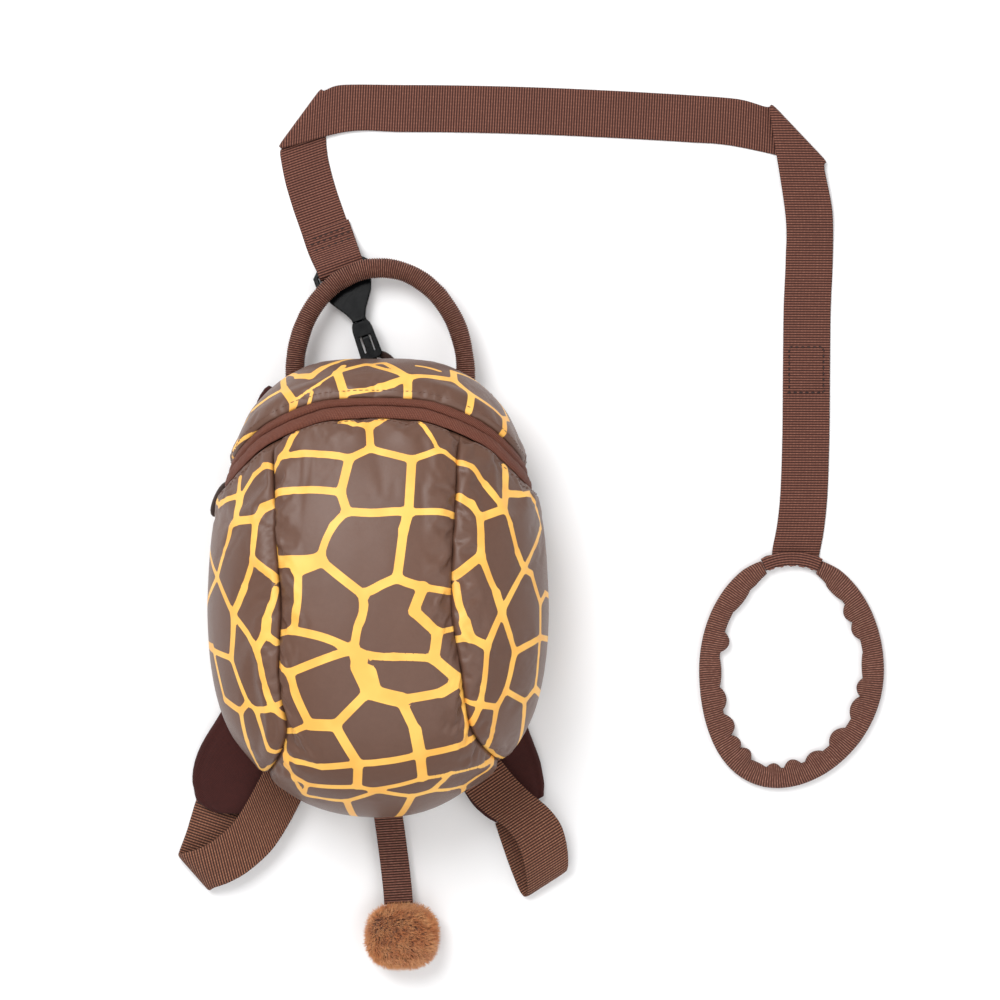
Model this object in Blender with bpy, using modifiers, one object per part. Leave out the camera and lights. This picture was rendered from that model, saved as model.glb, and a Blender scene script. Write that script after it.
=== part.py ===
"""A toddler's animal backpack with a walking rein, lying on its back.

Metres, +Z up. The origin is on the flat back face of the pack, in its middle. +Y points to
the grab handle, +Z out of the front panel, and the shoulder pads lie under the back face on
the surface that the pack rests on.
"""

import math

import bmesh
import bpy
import numpy as np
from mathutils import Vector

# Body of the pack
BODY_WIDTH = 0.1775
BODY_LENGTH = 0.2385
BODY_DEPTH = 0.108
SUMMIT_Y = -0.012          # where the dome of the body is highest
SQUARENESS = 2.35          # 2 is a round dome, more is boxier
SQUARENESS_TILT = 0.25     # the bottom end is boxier than the top by this
EQUATOR_HEIGHT = 0.0324    # height of the widest line above the back face
RIM_INSET = 0.0085         # how far the back seam lies inside the widest line
WALL = 0.002               # padded shell fabric
SEAM_DEPTH = 0.0032        # how far a seam is pulled in
SEAM_SOFTNESS = 0.0075     # how far from a seam the pull is felt
PANEL_SWELL = 0.0016
PUCKER = 0.0005            # ripple of the fabric along a seam
PUCKER_LENGTH = 0.018
GAP = 0.0003               # clearance between pieces that touch
SEAM_GAP = 0.0005          # clearance between sewn panels, measured across the seam

# Back panel and shoulder pads under it
BACK_THICKNESS = 0.006
BACK_EDGE = 0.0015         # rounding of the back panel's edge
PAD_THICKNESS = 0.0082
PAD_WIDTH = 0.045

# Webbing, handle, ring and tail
REIN_WIDTH = 0.0255
REIN_THICKNESS = 0.0014
REIN_TURNBACK = 0.0220     # length of the end that is turned back over the hook's bar
REIN_SPREAD = 0.2680       # from the hook's end of the rein across to the wrist loop's run
REIN_OUT = 0.13675         # from the body's top end up to the rein's top run
FOLD_RADIUS = 0.0013
BAR_CLEARANCE = 0.0009     # how far the webbing stands off the hook's bar, along the hook
BAR_WRAP = 0.0024          # how far it bulges over the bar, along the hook
STRAP_WIDTH = 0.0255
STRAP_THICKNESS = 0.0014
HANDLE_DIAMETER = 0.0114
HANDLE_WIDTH = 0.0915      # between the tube's centre lines
HANDLE_HEIGHT = 0.0585
HANDLE_LIFT = 0.0175       # height of the feet's centre above the surface it lies on
HANDLE_SAG = 0.0020        # how far the arch hangs below its feet
RING_WIDTH = 0.0212        # between the cord's centre lines
RING_DIAMETER = 0.0042
TAIL_WIDTH = 0.0155
TAIL_THICKNESS = 0.0014
TAIL_LENGTH = 0.0590
TAIL_X = 0.0028            # where it leaves the back seam
POMPOM_WIDTH = 0.0380
POMPOM_LENGTH = 0.0350
POMPOM_HEIGHT = 0.0280
POMPOM_SETTLE = 0.88       # share of its lower half that stays above the surface
POMPOM_DRIFT = 0.0018      # how far its middle lies to the right of the tail's end

# Snap hook, in its own frame: u along it from the waist to its nose, v across, w up from
# the underside of the jaw
HOOK_X = -0.0113
HOOK_OUT = 0.03035         # from the back seam's top to the waist
HOOK_TURN = math.radians(-70.4)
HOOK_TILT = math.radians(3.5)
HOOK_HEIGHT = 0.0070       # middle of the waist above the surface
JAW_LENGTH = 0.0235
JAW_HEIGHT = 0.0094
JAW_WIDTH = 0.0120
JAW_BAR = 0.0021           # thickness of the jaw's spine, nose and face
TONGUE_WIDTH = 0.0042
TONGUE_TIP = 0.0150        # from the waist to the tip of the tongue
SLOT_WIDTH = 0.0009
SHANK_LENGTH = 0.0085
NOSE_LENGTH = 0.0018       # how far the nose reaches past the jaw's face
BASE_LENGTH = 0.0330
BASE_WIDTH = 0.0320
BASE_THICKNESS = 0.0048
BASE_CORNER = 0.0030
STRAP_SLOT = 0.0042
STRAP_BAR = 0.0032
SWIVEL_DIAMETER = 0.0026
SWIVEL_DEPTH = 0.0060

# Wrist loop
LOOP_WIDTH = 0.0996        # outer width
LOOP_HEIGHT = 0.1269       # outer height
LOOP_PLACE = 0.825         # where its middle lies, in shares of the rein's spread
LOOP_Y = -0.0458
LOOP_BAND = 0.0112         # width of the gathered tube, seen from above
LOOP_THICKNESS = 0.0062
LOOP_LEAN = -0.0076        # sideways shift of its lower end
LOOP_GATHERS = 15
LOOP_RUFFLE = 0.0012
JOIN_LENGTH = 0.0290
JOIN_WIDTH = 0.0076
JOIN_THICKNESS = 0.0042

# Zip pull
PULL_LENGTH = 0.0205
PULL_WIDTH = 0.0100
PULL_DIAMETER = 0.0026
SLIDER_LENGTH = 0.0100
SLIDER_WIDTH = 0.0066
SLIDER_THICKNESS = 0.0030
SLIDER_EDGE = 0.0006
SLIDER_PLACE = 0.945       # share of the way from the middle of the zip to its left end

FLOOR = -(PAD_THICKNESS + GAP)
RIM_HEIGHT = BACK_THICKNESS + GAP
REIN_REACH = BODY_LENGTH / 2 + REIN_OUT
LOOP_X = LOOP_PLACE * REIN_SPREAD

# Half of the body's outline at its widest line, from the top centre to the bottom centre
OUTLINE = (  # share of half the width, share of half the length
    (0.000, 1.005), (0.200, 1.003), (0.370, 0.985), (0.520, 0.935), (0.655, 0.860),
    (0.765, 0.765), (0.850, 0.630), (0.915, 0.490), (0.955, 0.360), (0.985, 0.210),
    (1.000, 0.030), (1.003, -0.130), (0.985, -0.330), (0.940, -0.500), (0.870, -0.630),
    (0.775, -0.735), (0.660, -0.820), (0.520, -0.895), (0.360, -0.955), (0.180, -0.992),
    (0.000, -1.005),
)
# The body is mapped by an angle round its summit and a reach: 0 at the summit, 1 at the
# back seam. The widest line is at this reach.
REACH_WIDEST = 0.78
UNDERCUT = math.radians(70)

# Half of the zip, from the centre line to the back seam. Turns are degrees from the top.
ZIP = (  # lower edge turn and reach, slit turn and reach, upper edge turn and reach
    (0.0, 0.428, 0.0, 0.474, 0.0, 0.502),
    (11.0, 0.426, 10.5, 0.472, 10.0, 0.500),
    (21.0, 0.438, 20.0, 0.481, 19.0, 0.512),
    (30.0, 0.470, 28.5, 0.512, 27.5, 0.543),
    (38.0, 0.526, 35.5, 0.560, 34.0, 0.585),
    (44.7, 0.592, 41.5, 0.622, 39.5, 0.650),
    (49.5, 0.665, 46.5, 0.705, 44.0, 0.738),
    (52.5, 0.790, 49.8, 0.820, 47.2, 0.850),
    (54.0, 1.000, 51.0, 1.000, 48.0, 1.000),
)
SEAM_ON_ZIP = (-3.15 / 8, 2.55 / 8)  # where the left and right seams meet the zip

# The two long seams from the zip to the back seam, as reach times cosine and sine
LEFT_SEAM = (
    (-0.238, 0.306), (-0.248, 0.179), (-0.251, 0.050), (-0.2445, -0.071),
    (-0.224, -0.185), (-0.214, -0.270), (-0.238, -0.340), (-0.291, -0.430),
    (-0.368, -0.540), (-0.452, -0.660), (-0.566, -0.824),
)
RIGHT_SEAM = (
    (0.182, 0.327), (0.185, 0.190), (0.202, 0.068), (0.2065, -0.060),
    (0.215, -0.175), (0.244, -0.275), (0.289, -0.350), (0.352, -0.428),
    (0.436, -0.530), (0.520, -0.645), (0.622, -0.783),
)
# Soft dents of the half-filled body
DENTS = (  # reach times cosine and sine, radius, depth in shares of the body's depth
    (-0.42, -0.10, 0.16, 0.020), (0.40, 0.12, 0.15, 0.018), (-0.02, -0.58, 0.14, 0.016),
    (-0.36, 0.24, 0.10, 0.012), (0.40, -0.36, 0.12, 0.016), (0.00, 0.20, 0.18, 0.010),
)

# Shoulder pads from the top of the back to their lower ends
LEFT_PAD = (  # x and y in shares of half the body's sizes, width and thickness in shares, lift
    (-0.500, 0.860, 0.62, 0.80, 0.10), (-0.515, 0.800, 0.98, 1.00, 0.00),
    (-0.505, 0.560, 1.00, 1.00, 0.00), (-0.490, 0.220, 0.94, 1.00, 0.00),
    (-0.500, -0.140, 0.92, 1.00, 0.00), (-0.590, -0.420, 0.98, 1.00, 0.00),
    (-0.735, -0.650, 1.02, 0.98, 0.00), (-0.865, -0.830, 1.06, 0.86, 0.04),
    (-0.890, -0.930, 0.98, 0.74, 0.19), (-0.893, -0.990, 0.80, 0.62, 0.24),
    (-0.895, -1.030, 0.44, 0.44, 0.28),
)
RIGHT_PAD = (
    (0.470, 0.850, 0.62, 0.80, 0.10), (0.480, 0.790, 0.94, 1.00, 0.00),
    (0.480, 0.540, 0.98, 1.00, 0.00), (0.480, 0.200, 0.94, 1.00, 0.00),
    (0.490, -0.140, 0.94, 1.00, 0.00), (0.545, -0.440, 0.98, 1.00, 0.00),
    (0.640, -0.680, 1.00, 0.98, 0.00), (0.735, -0.860, 0.98, 0.86, 0.04),
    (0.800, -0.955, 0.84, 0.72, 0.16), (0.840, -1.010, 0.66, 0.58, 0.22),
)

# Strap webbing: both ends of each crosswise line, in shares of half the body's sizes, and
# their heights above the surface in shares of the pad's thickness
LEFT_STRAP = (  # outer x, outer y, inner x, inner y, outer height, inner height
    (-1.095, -0.930, -0.838, -0.995, 0.10, 0.10),
    (-1.130, -0.985, -0.870, -1.065, 0.10, 0.10),
    (-1.190, -1.110, -0.925, -1.215, 0.10, 0.10),
    (-1.228, -1.180, -0.985, -1.320, 0.12, 0.12),
    (-1.243, -1.205, -1.028, -1.386, 0.50, 0.50),
    (-1.222, -1.196, -0.995, -1.372, 1.00, 1.00),
    (-1.150, -1.188, -0.925, -1.345, 1.30, 1.36),
    (-1.055, -1.168, -0.835, -1.300, 1.44, 1.52),
    (-0.960, -1.130, -0.750, -1.240, 1.50, 1.56),
    (-0.872, -1.078, -0.672, -1.172, 1.50, 1.54),
    (-0.808, -1.005, -0.595, -1.090, 1.48, 1.50),
    (-0.745, -0.912, -0.528, -1.010, 1.45, 1.45),
    (-0.6880, -0.8190, -0.4700, -0.9350, 1.42, 1.42),
)
RIGHT_STRAP = (
    (0.930, -0.975, 0.700, -1.075, 0.10, 0.10),
    (0.965, -1.050, 0.735, -1.165, 0.10, 0.10),
    (1.015, -1.160, 0.788, -1.278, 0.10, 0.10),
    (1.075, -1.270, 0.850, -1.385, 0.12, 0.12),
    (1.110, -1.290, 0.882, -1.402, 0.55, 0.50),
    (1.135, -1.260, 0.885, -1.372, 1.10, 1.00),
    (1.130, -1.165, 0.865, -1.265, 1.62, 1.48),
    (1.095, -1.065, 0.815, -1.155, 1.84, 1.70),
    (1.020, -0.985, 0.730, -1.085, 1.80, 1.70),
    (0.915, -0.920, 0.635, -1.035, 1.66, 1.62),
    (0.815, -0.850, 0.560, -0.985, 1.52, 1.50),
    (0.7230, -0.7730, 0.5000, -0.9200, 1.42, 1.42),
)

# The rein's middle line from behind the hook: x and y in shares of its spread and reach,
# height above the surface in rein thicknesses, and 1 where the webbing is folded over
REIN = (
    (-0.1007, 0.7113, 0.56, 0), (-0.1180, 0.7640, 0.56, 0), (-0.1340, 0.8125, 0.56, 0),
    (-0.1480, 0.8633, 0.56, 0), (-0.1570, 0.9137, 0.56, 0), (-0.1630, 0.9842, 0.56, 1),
    (-0.0750, 1.0045, 1.60, 0),
    (0.0400, 1.0050, 0.60, 0), (0.1600, 1.0040, 0.56, 0), (0.3600, 0.9980, 0.56, 0),
    (0.6200, 0.9835, 0.56, 0), (0.7100, 0.9760, 0.56, 0), (0.8400, 0.9515, 0.56, 1),
    (0.8610, 0.7760, 1.60, 0), (0.8615, 0.6860, 0.60, 0), (0.8575, 0.5850, 0.56, 0),
    (0.8560, 0.4600, 0.56, 0), (0.8545, 0.3000, 0.56, 0), (0.8500, 0.1800, 0.56, 0),
    (0.8430, 0.1150, 0.56, 0), (0.8340, 0.0660, 0.56, 0), (0.8330, 0.0490, 0.56, 0),
)


def smooth(rows, count):
    """Points of a smooth curve through the rows, evenly spread over them."""
    rows = np.array(rows, dtype=float)
    padded = np.vstack([2 * rows[0] - rows[1], rows, 2 * rows[-1] - rows[-2]])
    result = []
    for step in np.linspace(0, len(rows) - 1, count):
        index = min(int(step), len(rows) - 2)
        f = step - index
        a, b, c, d = padded[index:index + 4]
        result.append(0.5 * (2 * b + (c - a) * f + (2 * a - 5 * b + 4 * c - d) * f * f
                             + (3 * b - a - 3 * c + d) * f ** 3))
    return np.array(result)


def outline_radii():
    """Angles round the summit, in order, and the outline's distance at each."""
    half = smooth(OUTLINE, 161) * (BODY_WIDTH / 2, BODY_LENGTH / 2)
    half[:, 1] -= SUMMIT_Y
    half[:, 0] = np.maximum(half[:, 0], 0)
    angles = np.arctan2(half[:, 1], half[:, 0])
    return angles[::-1], np.hypot(half[:, 0], half[:, 1])[::-1]


ANGLES, RADII = outline_radii()


def outline_radius(angle):
    """Distance from the summit's axis to the widest line, the same on the left and right."""
    folded = math.asin(max(-1.0, min(1.0, math.sin(angle))))
    return float(np.interp(folded, ANGLES, RADII))


def shell_point(a, b):
    """A point of the body's plain outer surface from reach times cosine and sine."""
    reach = math.hypot(a, b)
    angle = math.atan2(b, a)
    radius = outline_radius(angle)
    if reach <= REACH_WIDEST:
        power = 2 / (SQUARENESS - SQUARENESS_TILT * math.sin(angle))
        climb = reach / REACH_WIDEST * math.pi / 2
        radius *= math.sin(climb) ** power
        height = EQUATOR_HEIGHT + (BODY_DEPTH - EQUATOR_HEIGHT) * max(math.cos(climb), 0) ** power
    else:
        tuck = min((reach - REACH_WIDEST) / (1 - REACH_WIDEST), 1) * UNDERCUT
        radius -= RIM_INSET * (1 - math.cos(tuck)) / (1 - math.cos(UNDERCUT))
        drop = math.sin(tuck) / math.sin(UNDERCUT)
        height = EQUATOR_HEIGHT + (RIM_HEIGHT - EQUATOR_HEIGHT) * drop
    return np.array([radius * math.cos(angle), SUMMIT_Y + radius * math.sin(angle), height])


def shell_normal(a, b):
    """The outward direction of the body's surface."""
    step = 0.004
    across = shell_point(a + step, b) - shell_point(a - step, b)
    along = shell_point(a, b + step) - shell_point(a, b - step)
    normal = np.cross(across, along)
    return normal / np.linalg.norm(normal)


def rim_point(angle, height):
    """A point straight above or below the back seam."""
    radius = outline_radius(angle) - RIM_INSET
    return Vector((radius * math.cos(angle), SUMMIT_Y + radius * math.sin(angle), height))


def edge_y(low_x, high_x, height):
    """How far the body reaches towards +Y at this height, between two distances from the middle."""
    drop = (EQUATOR_HEIGHT - height) / (EQUATOR_HEIGHT - RIM_HEIGHT)
    tuck = math.asin(max(0.0, min(drop, 1.0)) * math.sin(UNDERCUT))
    inset = RIM_INSET * (1 - math.cos(tuck)) / (1 - math.cos(UNDERCUT))
    reached = 0.0
    for angle in np.linspace(0.5, math.pi / 2, 120):
        radius = outline_radius(angle) - inset
        if low_x <= radius * math.cos(angle) <= high_x:
            reached = max(reached, SUMMIT_Y + radius * math.sin(angle))
    return reached


def make_material(name, colour, roughness, metallic=0.0):
    """A plain Principled material."""
    material = bpy.data.materials.new(name)
    material.use_nodes = True
    shader = material.node_tree.nodes["Principled BSDF"]
    shader.inputs["Base Color"].default_value = (*colour, 1)
    shader.inputs["Roughness"].default_value = roughness
    shader.inputs["Metallic"].default_value = metallic
    return material


def add_object(name, mesh, material, collection):
    """Put a mesh into the collection as one named piece."""
    mesh.name = name
    piece = bpy.data.objects.new(name, mesh)
    mesh.materials.clear()
    mesh.materials.append(material)
    collection.objects.link(piece)
    mesh.shade_smooth()
    mesh.set_sharp_from_angle(angle=math.radians(40))
    return piece


def grid_mesh(rows, around=False, loop=False):
    """Faces between rows of points; around closes each row, loop joins the last to the first."""
    mesh_data = bmesh.new()
    lines = [[mesh_data.verts.new(point) for point in row] for row in rows]
    pairs = list(zip(lines, lines[1:]))
    if loop:
        pairs.append((lines[-1], lines[0]))
    for first, second in pairs:
        last = len(first) if around else len(first) - 1
        for i in range(last):
            j = (i + 1) % len(first)
            mesh_data.faces.new((first[i], first[j], second[j], second[i]))
    if around and not loop:
        mesh_data.faces.new(lines[0])
        mesh_data.faces.new(lines[-1])
    mesh = bpy.data.meshes.new("grid")
    if around or loop:
        bmesh.ops.recalc_face_normals(mesh_data, faces=mesh_data.faces)
    mesh_data.to_mesh(mesh)
    mesh_data.free()
    return mesh


def add_wall(piece, thickness, offset):
    """Give an open surface its thickness."""
    wall = piece.modifiers.new("wall", "SOLIDIFY")
    wall.thickness = thickness
    wall.offset = offset
    return wall


def zip_edge(which, share):
    """A point of a zip line as reach times cosine and sine; share runs from -1 to 1."""
    rows = np.array(ZIP)[:, 2 * which:2 * which + 2]
    fine = smooth(rows, 8 * (len(rows) - 1) + 1)
    place = abs(share) * (len(fine) - 1)
    turn = np.interp(place, range(len(fine)), fine[:, 0])
    reach = np.interp(place, range(len(fine)), fine[:, 1])
    angle = math.radians(90 - math.copysign(turn, share))
    return np.array([reach * math.cos(angle), reach * math.sin(angle)])


def seam_line(rows, start, count):
    """Points of a long seam from the zip to the back seam."""
    return smooth([tuple(start), *rows], count)


def arc_on_rim(first, last, count):
    """Points of the back seam between two points that lie on it."""
    begin = math.atan2(first[1], first[0])
    sweep = (math.atan2(last[1], last[0]) - begin + math.pi) % (2 * math.pi) - math.pi
    angles = begin + sweep * np.linspace(0, 1, count)
    return np.stack([np.cos(angles), np.sin(angles)], axis=1)


def patch(left, right, top, bottom):
    """A grid of flat coordinates between four edges; rows run from the top down."""
    rows = []
    count, width = len(left), len(top)
    for j in range(count):
        t = j / (count - 1)
        row = []
        for i in range(width):
            s = i / (width - 1)
            sides = (1 - s) * left[j] + s * right[j]
            ends = (1 - t) * top[i] + t * bottom[i]
            corners = ((1 - s) * (1 - t) * top[0] + s * (1 - t) * top[-1]
                       + (1 - s) * t * bottom[0] + s * t * bottom[-1])
            row.append(sides + ends - corners)
        rows.append(row)
    return np.array(rows)


def pull_in(flat, plain, sides):
    """Move the edges of a patch inwards so that neighbours keep the seam gap."""
    result = flat.copy()
    rows, columns = flat.shape[:2]
    for edge in sides:
        if edge in ("left", "right"):
            first, second = (0, 1) if edge == "left" else (columns - 1, columns - 2)
            for j in range(rows):
                span = max(np.linalg.norm(plain[j, first] - plain[j, second]), 1e-5)
                step = min(SEAM_GAP / 2 / span, 0.4)
                result[j, first] += (flat[j, second] - flat[j, first]) * step
        else:
            first, second = (0, 1) if edge == "top" else (rows - 1, rows - 2)
            for i in range(columns):
                span = max(np.linalg.norm(plain[first, i] - plain[second, i]), 1e-5)
                step = min(SEAM_GAP / 2 / span, 0.4)
                result[first, i] += (flat[second, i] - flat[first, i]) * step
    return result


def edge_distances(points):
    """For each point of a grid, its distance to the left, right, top and bottom edges."""
    across = np.linalg.norm(np.diff(points, axis=1), axis=2)
    along = np.linalg.norm(np.diff(points, axis=0), axis=2)
    zero_column = np.zeros((points.shape[0], 1))
    zero_row = np.zeros((1, points.shape[1]))
    left = np.hstack([zero_column, np.cumsum(across, axis=1)])
    top = np.vstack([zero_row, np.cumsum(along, axis=0)])
    return left, left[:, -1:] - left, top, top[-1:, :] - top


def dent_depth(a, b):
    """How far the fabric has sunk at a place of the body."""
    depth = 0.0
    for centre_a, centre_b, radius, share in DENTS:
        distance = math.hypot(a - centre_a, b - centre_b) / radius
        depth += share * BODY_DEPTH * math.exp(-distance * distance)
    return depth


def panel(name, flat, depths, swell, material, collection, gap_sides):
    """A padded panel of the body over a patch, pulled in at its seams."""
    plain = np.array([[shell_point(*place) for place in row] for row in flat])
    flat = pull_in(flat, plain, gap_sides)
    plain = np.array([[shell_point(*place) for place in row] for row in flat])
    distances = edge_distances(plain)
    length = distances[2]
    rows = []
    for j, row in enumerate(flat):
        line = []
        for i, place in enumerate(row):
            offset = swell - dent_depth(*place)
            for distance, depth in zip(distances, depths):
                if depth is None:
                    continue
                pull = math.exp(-distance[j, i] / SEAM_SOFTNESS)
                offset -= (swell + depth) * pull
                if depth > SEAM_DEPTH / 2:
                    offset += PUCKER * math.sin(2 * math.pi * length[j, i] / PUCKER_LENGTH) \
                        * pull * (1 - pull) * 4
            offset = max(offset, -1.25 * SEAM_DEPTH)
            line.append(plain[j, i] + offset * shell_normal(*place))
        rows.append(line)
    mesh = grid_mesh(rows)
    work = bmesh.new()
    work.from_mesh(mesh)
    bmesh.ops.remove_doubles(work, verts=work.verts, dist=0.00005)
    work.normal_update()
    outward = sum(face.normal.dot(face.calc_center_median() - Vector((0, SUMMIT_Y, 0)))
                  for face in work.faces)
    if outward < 0:
        bmesh.ops.reverse_faces(work, faces=work.faces)
    work.to_mesh(mesh)
    work.free()
    piece = add_object(name, mesh, material, collection)
    add_wall(piece, WALL, -1)
    return piece


def make_body(materials, collection):
    """The panels of the body, the two zip tapes and the back panel."""
    side_count, middle_count, seam_count = 8, 14, 27
    left_s, right_s = SEAM_ON_ZIP
    left_run = np.linspace(-1, left_s, side_count)
    middle_run = np.linspace(left_s, right_s, middle_count)
    right_run = np.linspace(right_s, 1, side_count)
    lower, slit, upper = 0, 1, 2
    left_seam = seam_line(LEFT_SEAM, zip_edge(lower, left_s), seam_count)
    right_seam = seam_line(RIGHT_SEAM, zip_edge(lower, right_s), seam_count)
    seam = SEAM_DEPTH
    shell = materials["shell_fabric"]

    top = np.array([zip_edge(lower, s) for s in middle_run])
    bottom = arc_on_rim(left_seam[-1], right_seam[-1], middle_count)
    panel("front_panel", patch(left_seam, right_seam, top, bottom), (seam, seam, seam, 0),
          PANEL_SWELL, shell, collection, ("left", "right", "top"))

    tip = 2  # rows left out where a side panel runs to a point
    for name, seam_points, run in (("side_panel_left", left_seam, left_run),
                                   ("side_panel_right", right_seam, right_run)):
        top = np.array([zip_edge(lower, s) for s in run])
        outer_corner = top[0] if name.endswith("left") else top[-1]
        rim = arc_on_rim(outer_corner, seam_points[-1], seam_count)
        point = np.repeat(seam_points[-1:], side_count, axis=0)
        if name.endswith("left"):
            flat = patch(rim, seam_points, top, point)[:-tip]
            depths, sides = (0, seam, seam, None), ("right", "top")
        else:
            flat = patch(seam_points, rim, top, point)[:-tip]
            depths, sides = (seam, 0, seam, None), ("left", "top")
        panel(name, flat, depths, PANEL_SWELL, shell, collection, sides)

    whole = np.concatenate([left_run, middle_run[1:-1], right_run])
    for name, first, second in (("zip_tape_lower", lower, slit), ("zip_tape_upper", slit, upper)):
        edge = np.array([zip_edge(first, s) for s in whole])
        other = np.array([zip_edge(second, s) for s in whole])
        middle = (edge + other) / 2
        flat = np.array([other, middle, edge])
        piece = panel(name, flat, (None, None, None, None), -SEAM_DEPTH, materials["zip_tape"], collection,
                      ("top", "bottom"))
        piece.modifiers["wall"].thickness = WALL / 2

    edge = np.array([zip_edge(upper, s) for s in whole])
    rim = arc_on_rim(edge[0], (0, 1), len(whole) // 2 + 1)
    rim = np.concatenate([rim[:-1], arc_on_rim((0, 1), edge[-1], len(whole) - len(rim) + 1)])
    steps = np.linspace(0, 1, 7)[:, None, None]
    flat = rim[None] * (1 - steps) + edge[None] * steps
    flat = flat[:, 1:-1]
    panel("lid", flat, (seam / 2, seam / 2, 0, seam), PANEL_SWELL, shell, collection,
          ("bottom",))
    make_back(materials["back_fabric"], collection)


def make_back(material, collection):
    """The padded back panel, flat outside, with a soft edge."""
    edge = BACK_EDGE
    inner = BODY_WIDTH / 6
    sides = 36
    turns = [2 * math.pi * (i + 0.5) / sides + math.pi / 2 for i in range(sides)]

    def ring(inset, height):
        points = []
        for turn in turns:
            point = rim_point(turn, height)
            centre = Vector((0, SUMMIT_Y, height))
            points.append(point + (centre - point).normalized() * inset)
        return points

    lip = edge / 4
    rings = [ring(inner, 0), ring(edge, 0), ring(0, edge), ring(0, BACK_THICKNESS - lip),
             ring(lip, BACK_THICKNESS), ring(inner, BACK_THICKNESS)]
    mesh_data = bmesh.new()
    lines = [[mesh_data.verts.new(point) for point in row] for row in rings]
    for first, second in zip(lines, lines[1:]):
        for i in range(sides):
            j = (i + 1) % sides
            mesh_data.faces.new((first[i], first[j], second[j], second[i]))
    for line, height in ((lines[0], 0), (lines[-1], BACK_THICKNESS)):
        hub = mesh_data.verts.new((0, BODY_LENGTH / 8, height))
        for i in range(sides):
            mesh_data.faces.new((line[i], line[(i + 1) % sides], hub))
    bmesh.ops.recalc_face_normals(mesh_data, faces=mesh_data.faces)
    mesh = bpy.data.meshes.new("back")
    mesh_data.to_mesh(mesh)
    mesh_data.free()
    return add_object("back_panel", mesh, material, collection)


def make_tube(name, points, diameter, material, collection, closed=False, resolution=2):
    """A round tube along points."""
    curve = bpy.data.curves.new(name, "CURVE")
    curve.dimensions = "3D"
    spline = curve.splines.new("POLY")
    spline.points.add(len(points) - 1)
    for target, point in zip(spline.points, points):
        target.co = (*point, 1)
    spline.use_cyclic_u = closed
    curve.bevel_depth = diameter / 2
    curve.bevel_resolution = resolution
    curve.use_fill_caps = not closed
    curve.materials.append(material)
    tube = bpy.data.objects.new(name, curve)
    collection.objects.link(tube)
    return tube


def make_handle(material, collection):
    """The grab handle: an arch of stuffed webbing from the top of the back seam."""
    half = HANDLE_WIDTH / 2
    radius = HANDLE_DIAMETER / 2
    foot_y = edge_y(half - radius, half + radius, FLOOR + HANDLE_LIFT + radius) + GAP
    points = []
    for turn in np.linspace(0, math.pi, 31):
        x = -half * math.cos(turn)
        y = foot_y + HANDLE_HEIGHT * math.sin(turn) ** 0.95
        z = FLOOR + HANDLE_LIFT - HANDLE_SAG * math.sin(turn)
        points.append((x, y, z))
    return make_tube("grab_handle", points, HANDLE_DIAMETER, material, collection, resolution=3)


def place_hook(u, v, w):
    """A world point from the hook's own coordinates."""
    level = Vector((math.cos(HOOK_TURN), math.sin(HOOK_TURN), 0))
    across = Vector((-level.y, level.x, 0))
    along = level * math.cos(HOOK_TILT) + Vector((0, 0, math.sin(HOOK_TILT)))
    up = along.cross(across)
    waist = Vector((HOOK_X, rim_point(math.pi / 2, 0).y + HOOK_OUT, FLOOR + HOOK_HEIGHT))
    return waist + along * u + across * v + up * (w - JAW_HEIGHT / 2)


def make_ring(material, collection):
    """The moulded ring at the top of the back seam, which runs square through the jaw."""
    seat = place_hook(JAW_LENGTH - JAW_HEIGHT / 2, 0, JAW_HEIGHT / 2)
    across = place_hook(0, 1, 0) - place_hook(0, 0, 0)
    foot = BACK_THICKNESS / 2
    half = RING_WIDTH / 2
    start_y = rim_point(math.pi / 2, 0).y + 2 * GAP
    slope = across.y / across.x * half
    rise = seat.y - start_y
    share = (math.sqrt(rise * rise + 4 * slope * slope) - rise) / (2 * slope)
    height = rise / math.sqrt(1 - share * share)
    points = []
    for turn in np.linspace(0, math.pi, 21):
        x = seat.x + half * (share - math.cos(turn))
        y = start_y + height * math.sin(turn)
        climb = min(math.sin(turn) / 0.74, 1)
        z = foot + (seat.z - foot) * climb * climb * (3 - 2 * climb)
        points.append((x, y, z))
    return make_tube("top_ring", points, RING_DIAMETER, material, collection)


def flat_prism(outlines, low, high, edge):
    """A mesh from closed outlines in x and y, the first solid and the others holes."""
    curve = bpy.data.curves.new("outline", "CURVE")
    curve.dimensions = "2D"
    curve.fill_mode = "BOTH"
    for i, outline in enumerate(outlines):
        area = sum(a[0] * b[1] - b[0] * a[1] for a, b in zip(outline, outline[1:] + outline[:1]))
        if (area > 0) != (i == 0):
            outline = outline[::-1]
        spline = curve.splines.new("POLY")
        spline.points.add(len(outline) - 1)
        for target, (x, y) in zip(spline.points, outline):
            target.co = (x, y, 0, 1)
        spline.use_cyclic_u = True
    curve.offset = -edge
    curve.extrude = (high - low) / 2 - edge
    curve.bevel_depth = edge
    curve.bevel_resolution = 0
    carrier = bpy.data.objects.new("outline", curve)
    bpy.context.scene.collection.objects.link(carrier)
    bpy.context.view_layer.update()
    evaluated = carrier.evaluated_get(bpy.context.evaluated_depsgraph_get())
    mesh = bpy.data.meshes.new_from_object(evaluated)
    bpy.data.objects.remove(carrier)
    bpy.data.curves.remove(curve)
    work = bmesh.new()
    work.from_mesh(mesh)
    bmesh.ops.remove_doubles(work, verts=work.verts, dist=0.00002)
    bmesh.ops.translate(work, verts=work.verts, vec=(0, 0, (high + low) / 2))
    bmesh.ops.recalc_face_normals(work, faces=work.faces)
    work.to_mesh(mesh)
    work.free()
    return mesh


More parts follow.
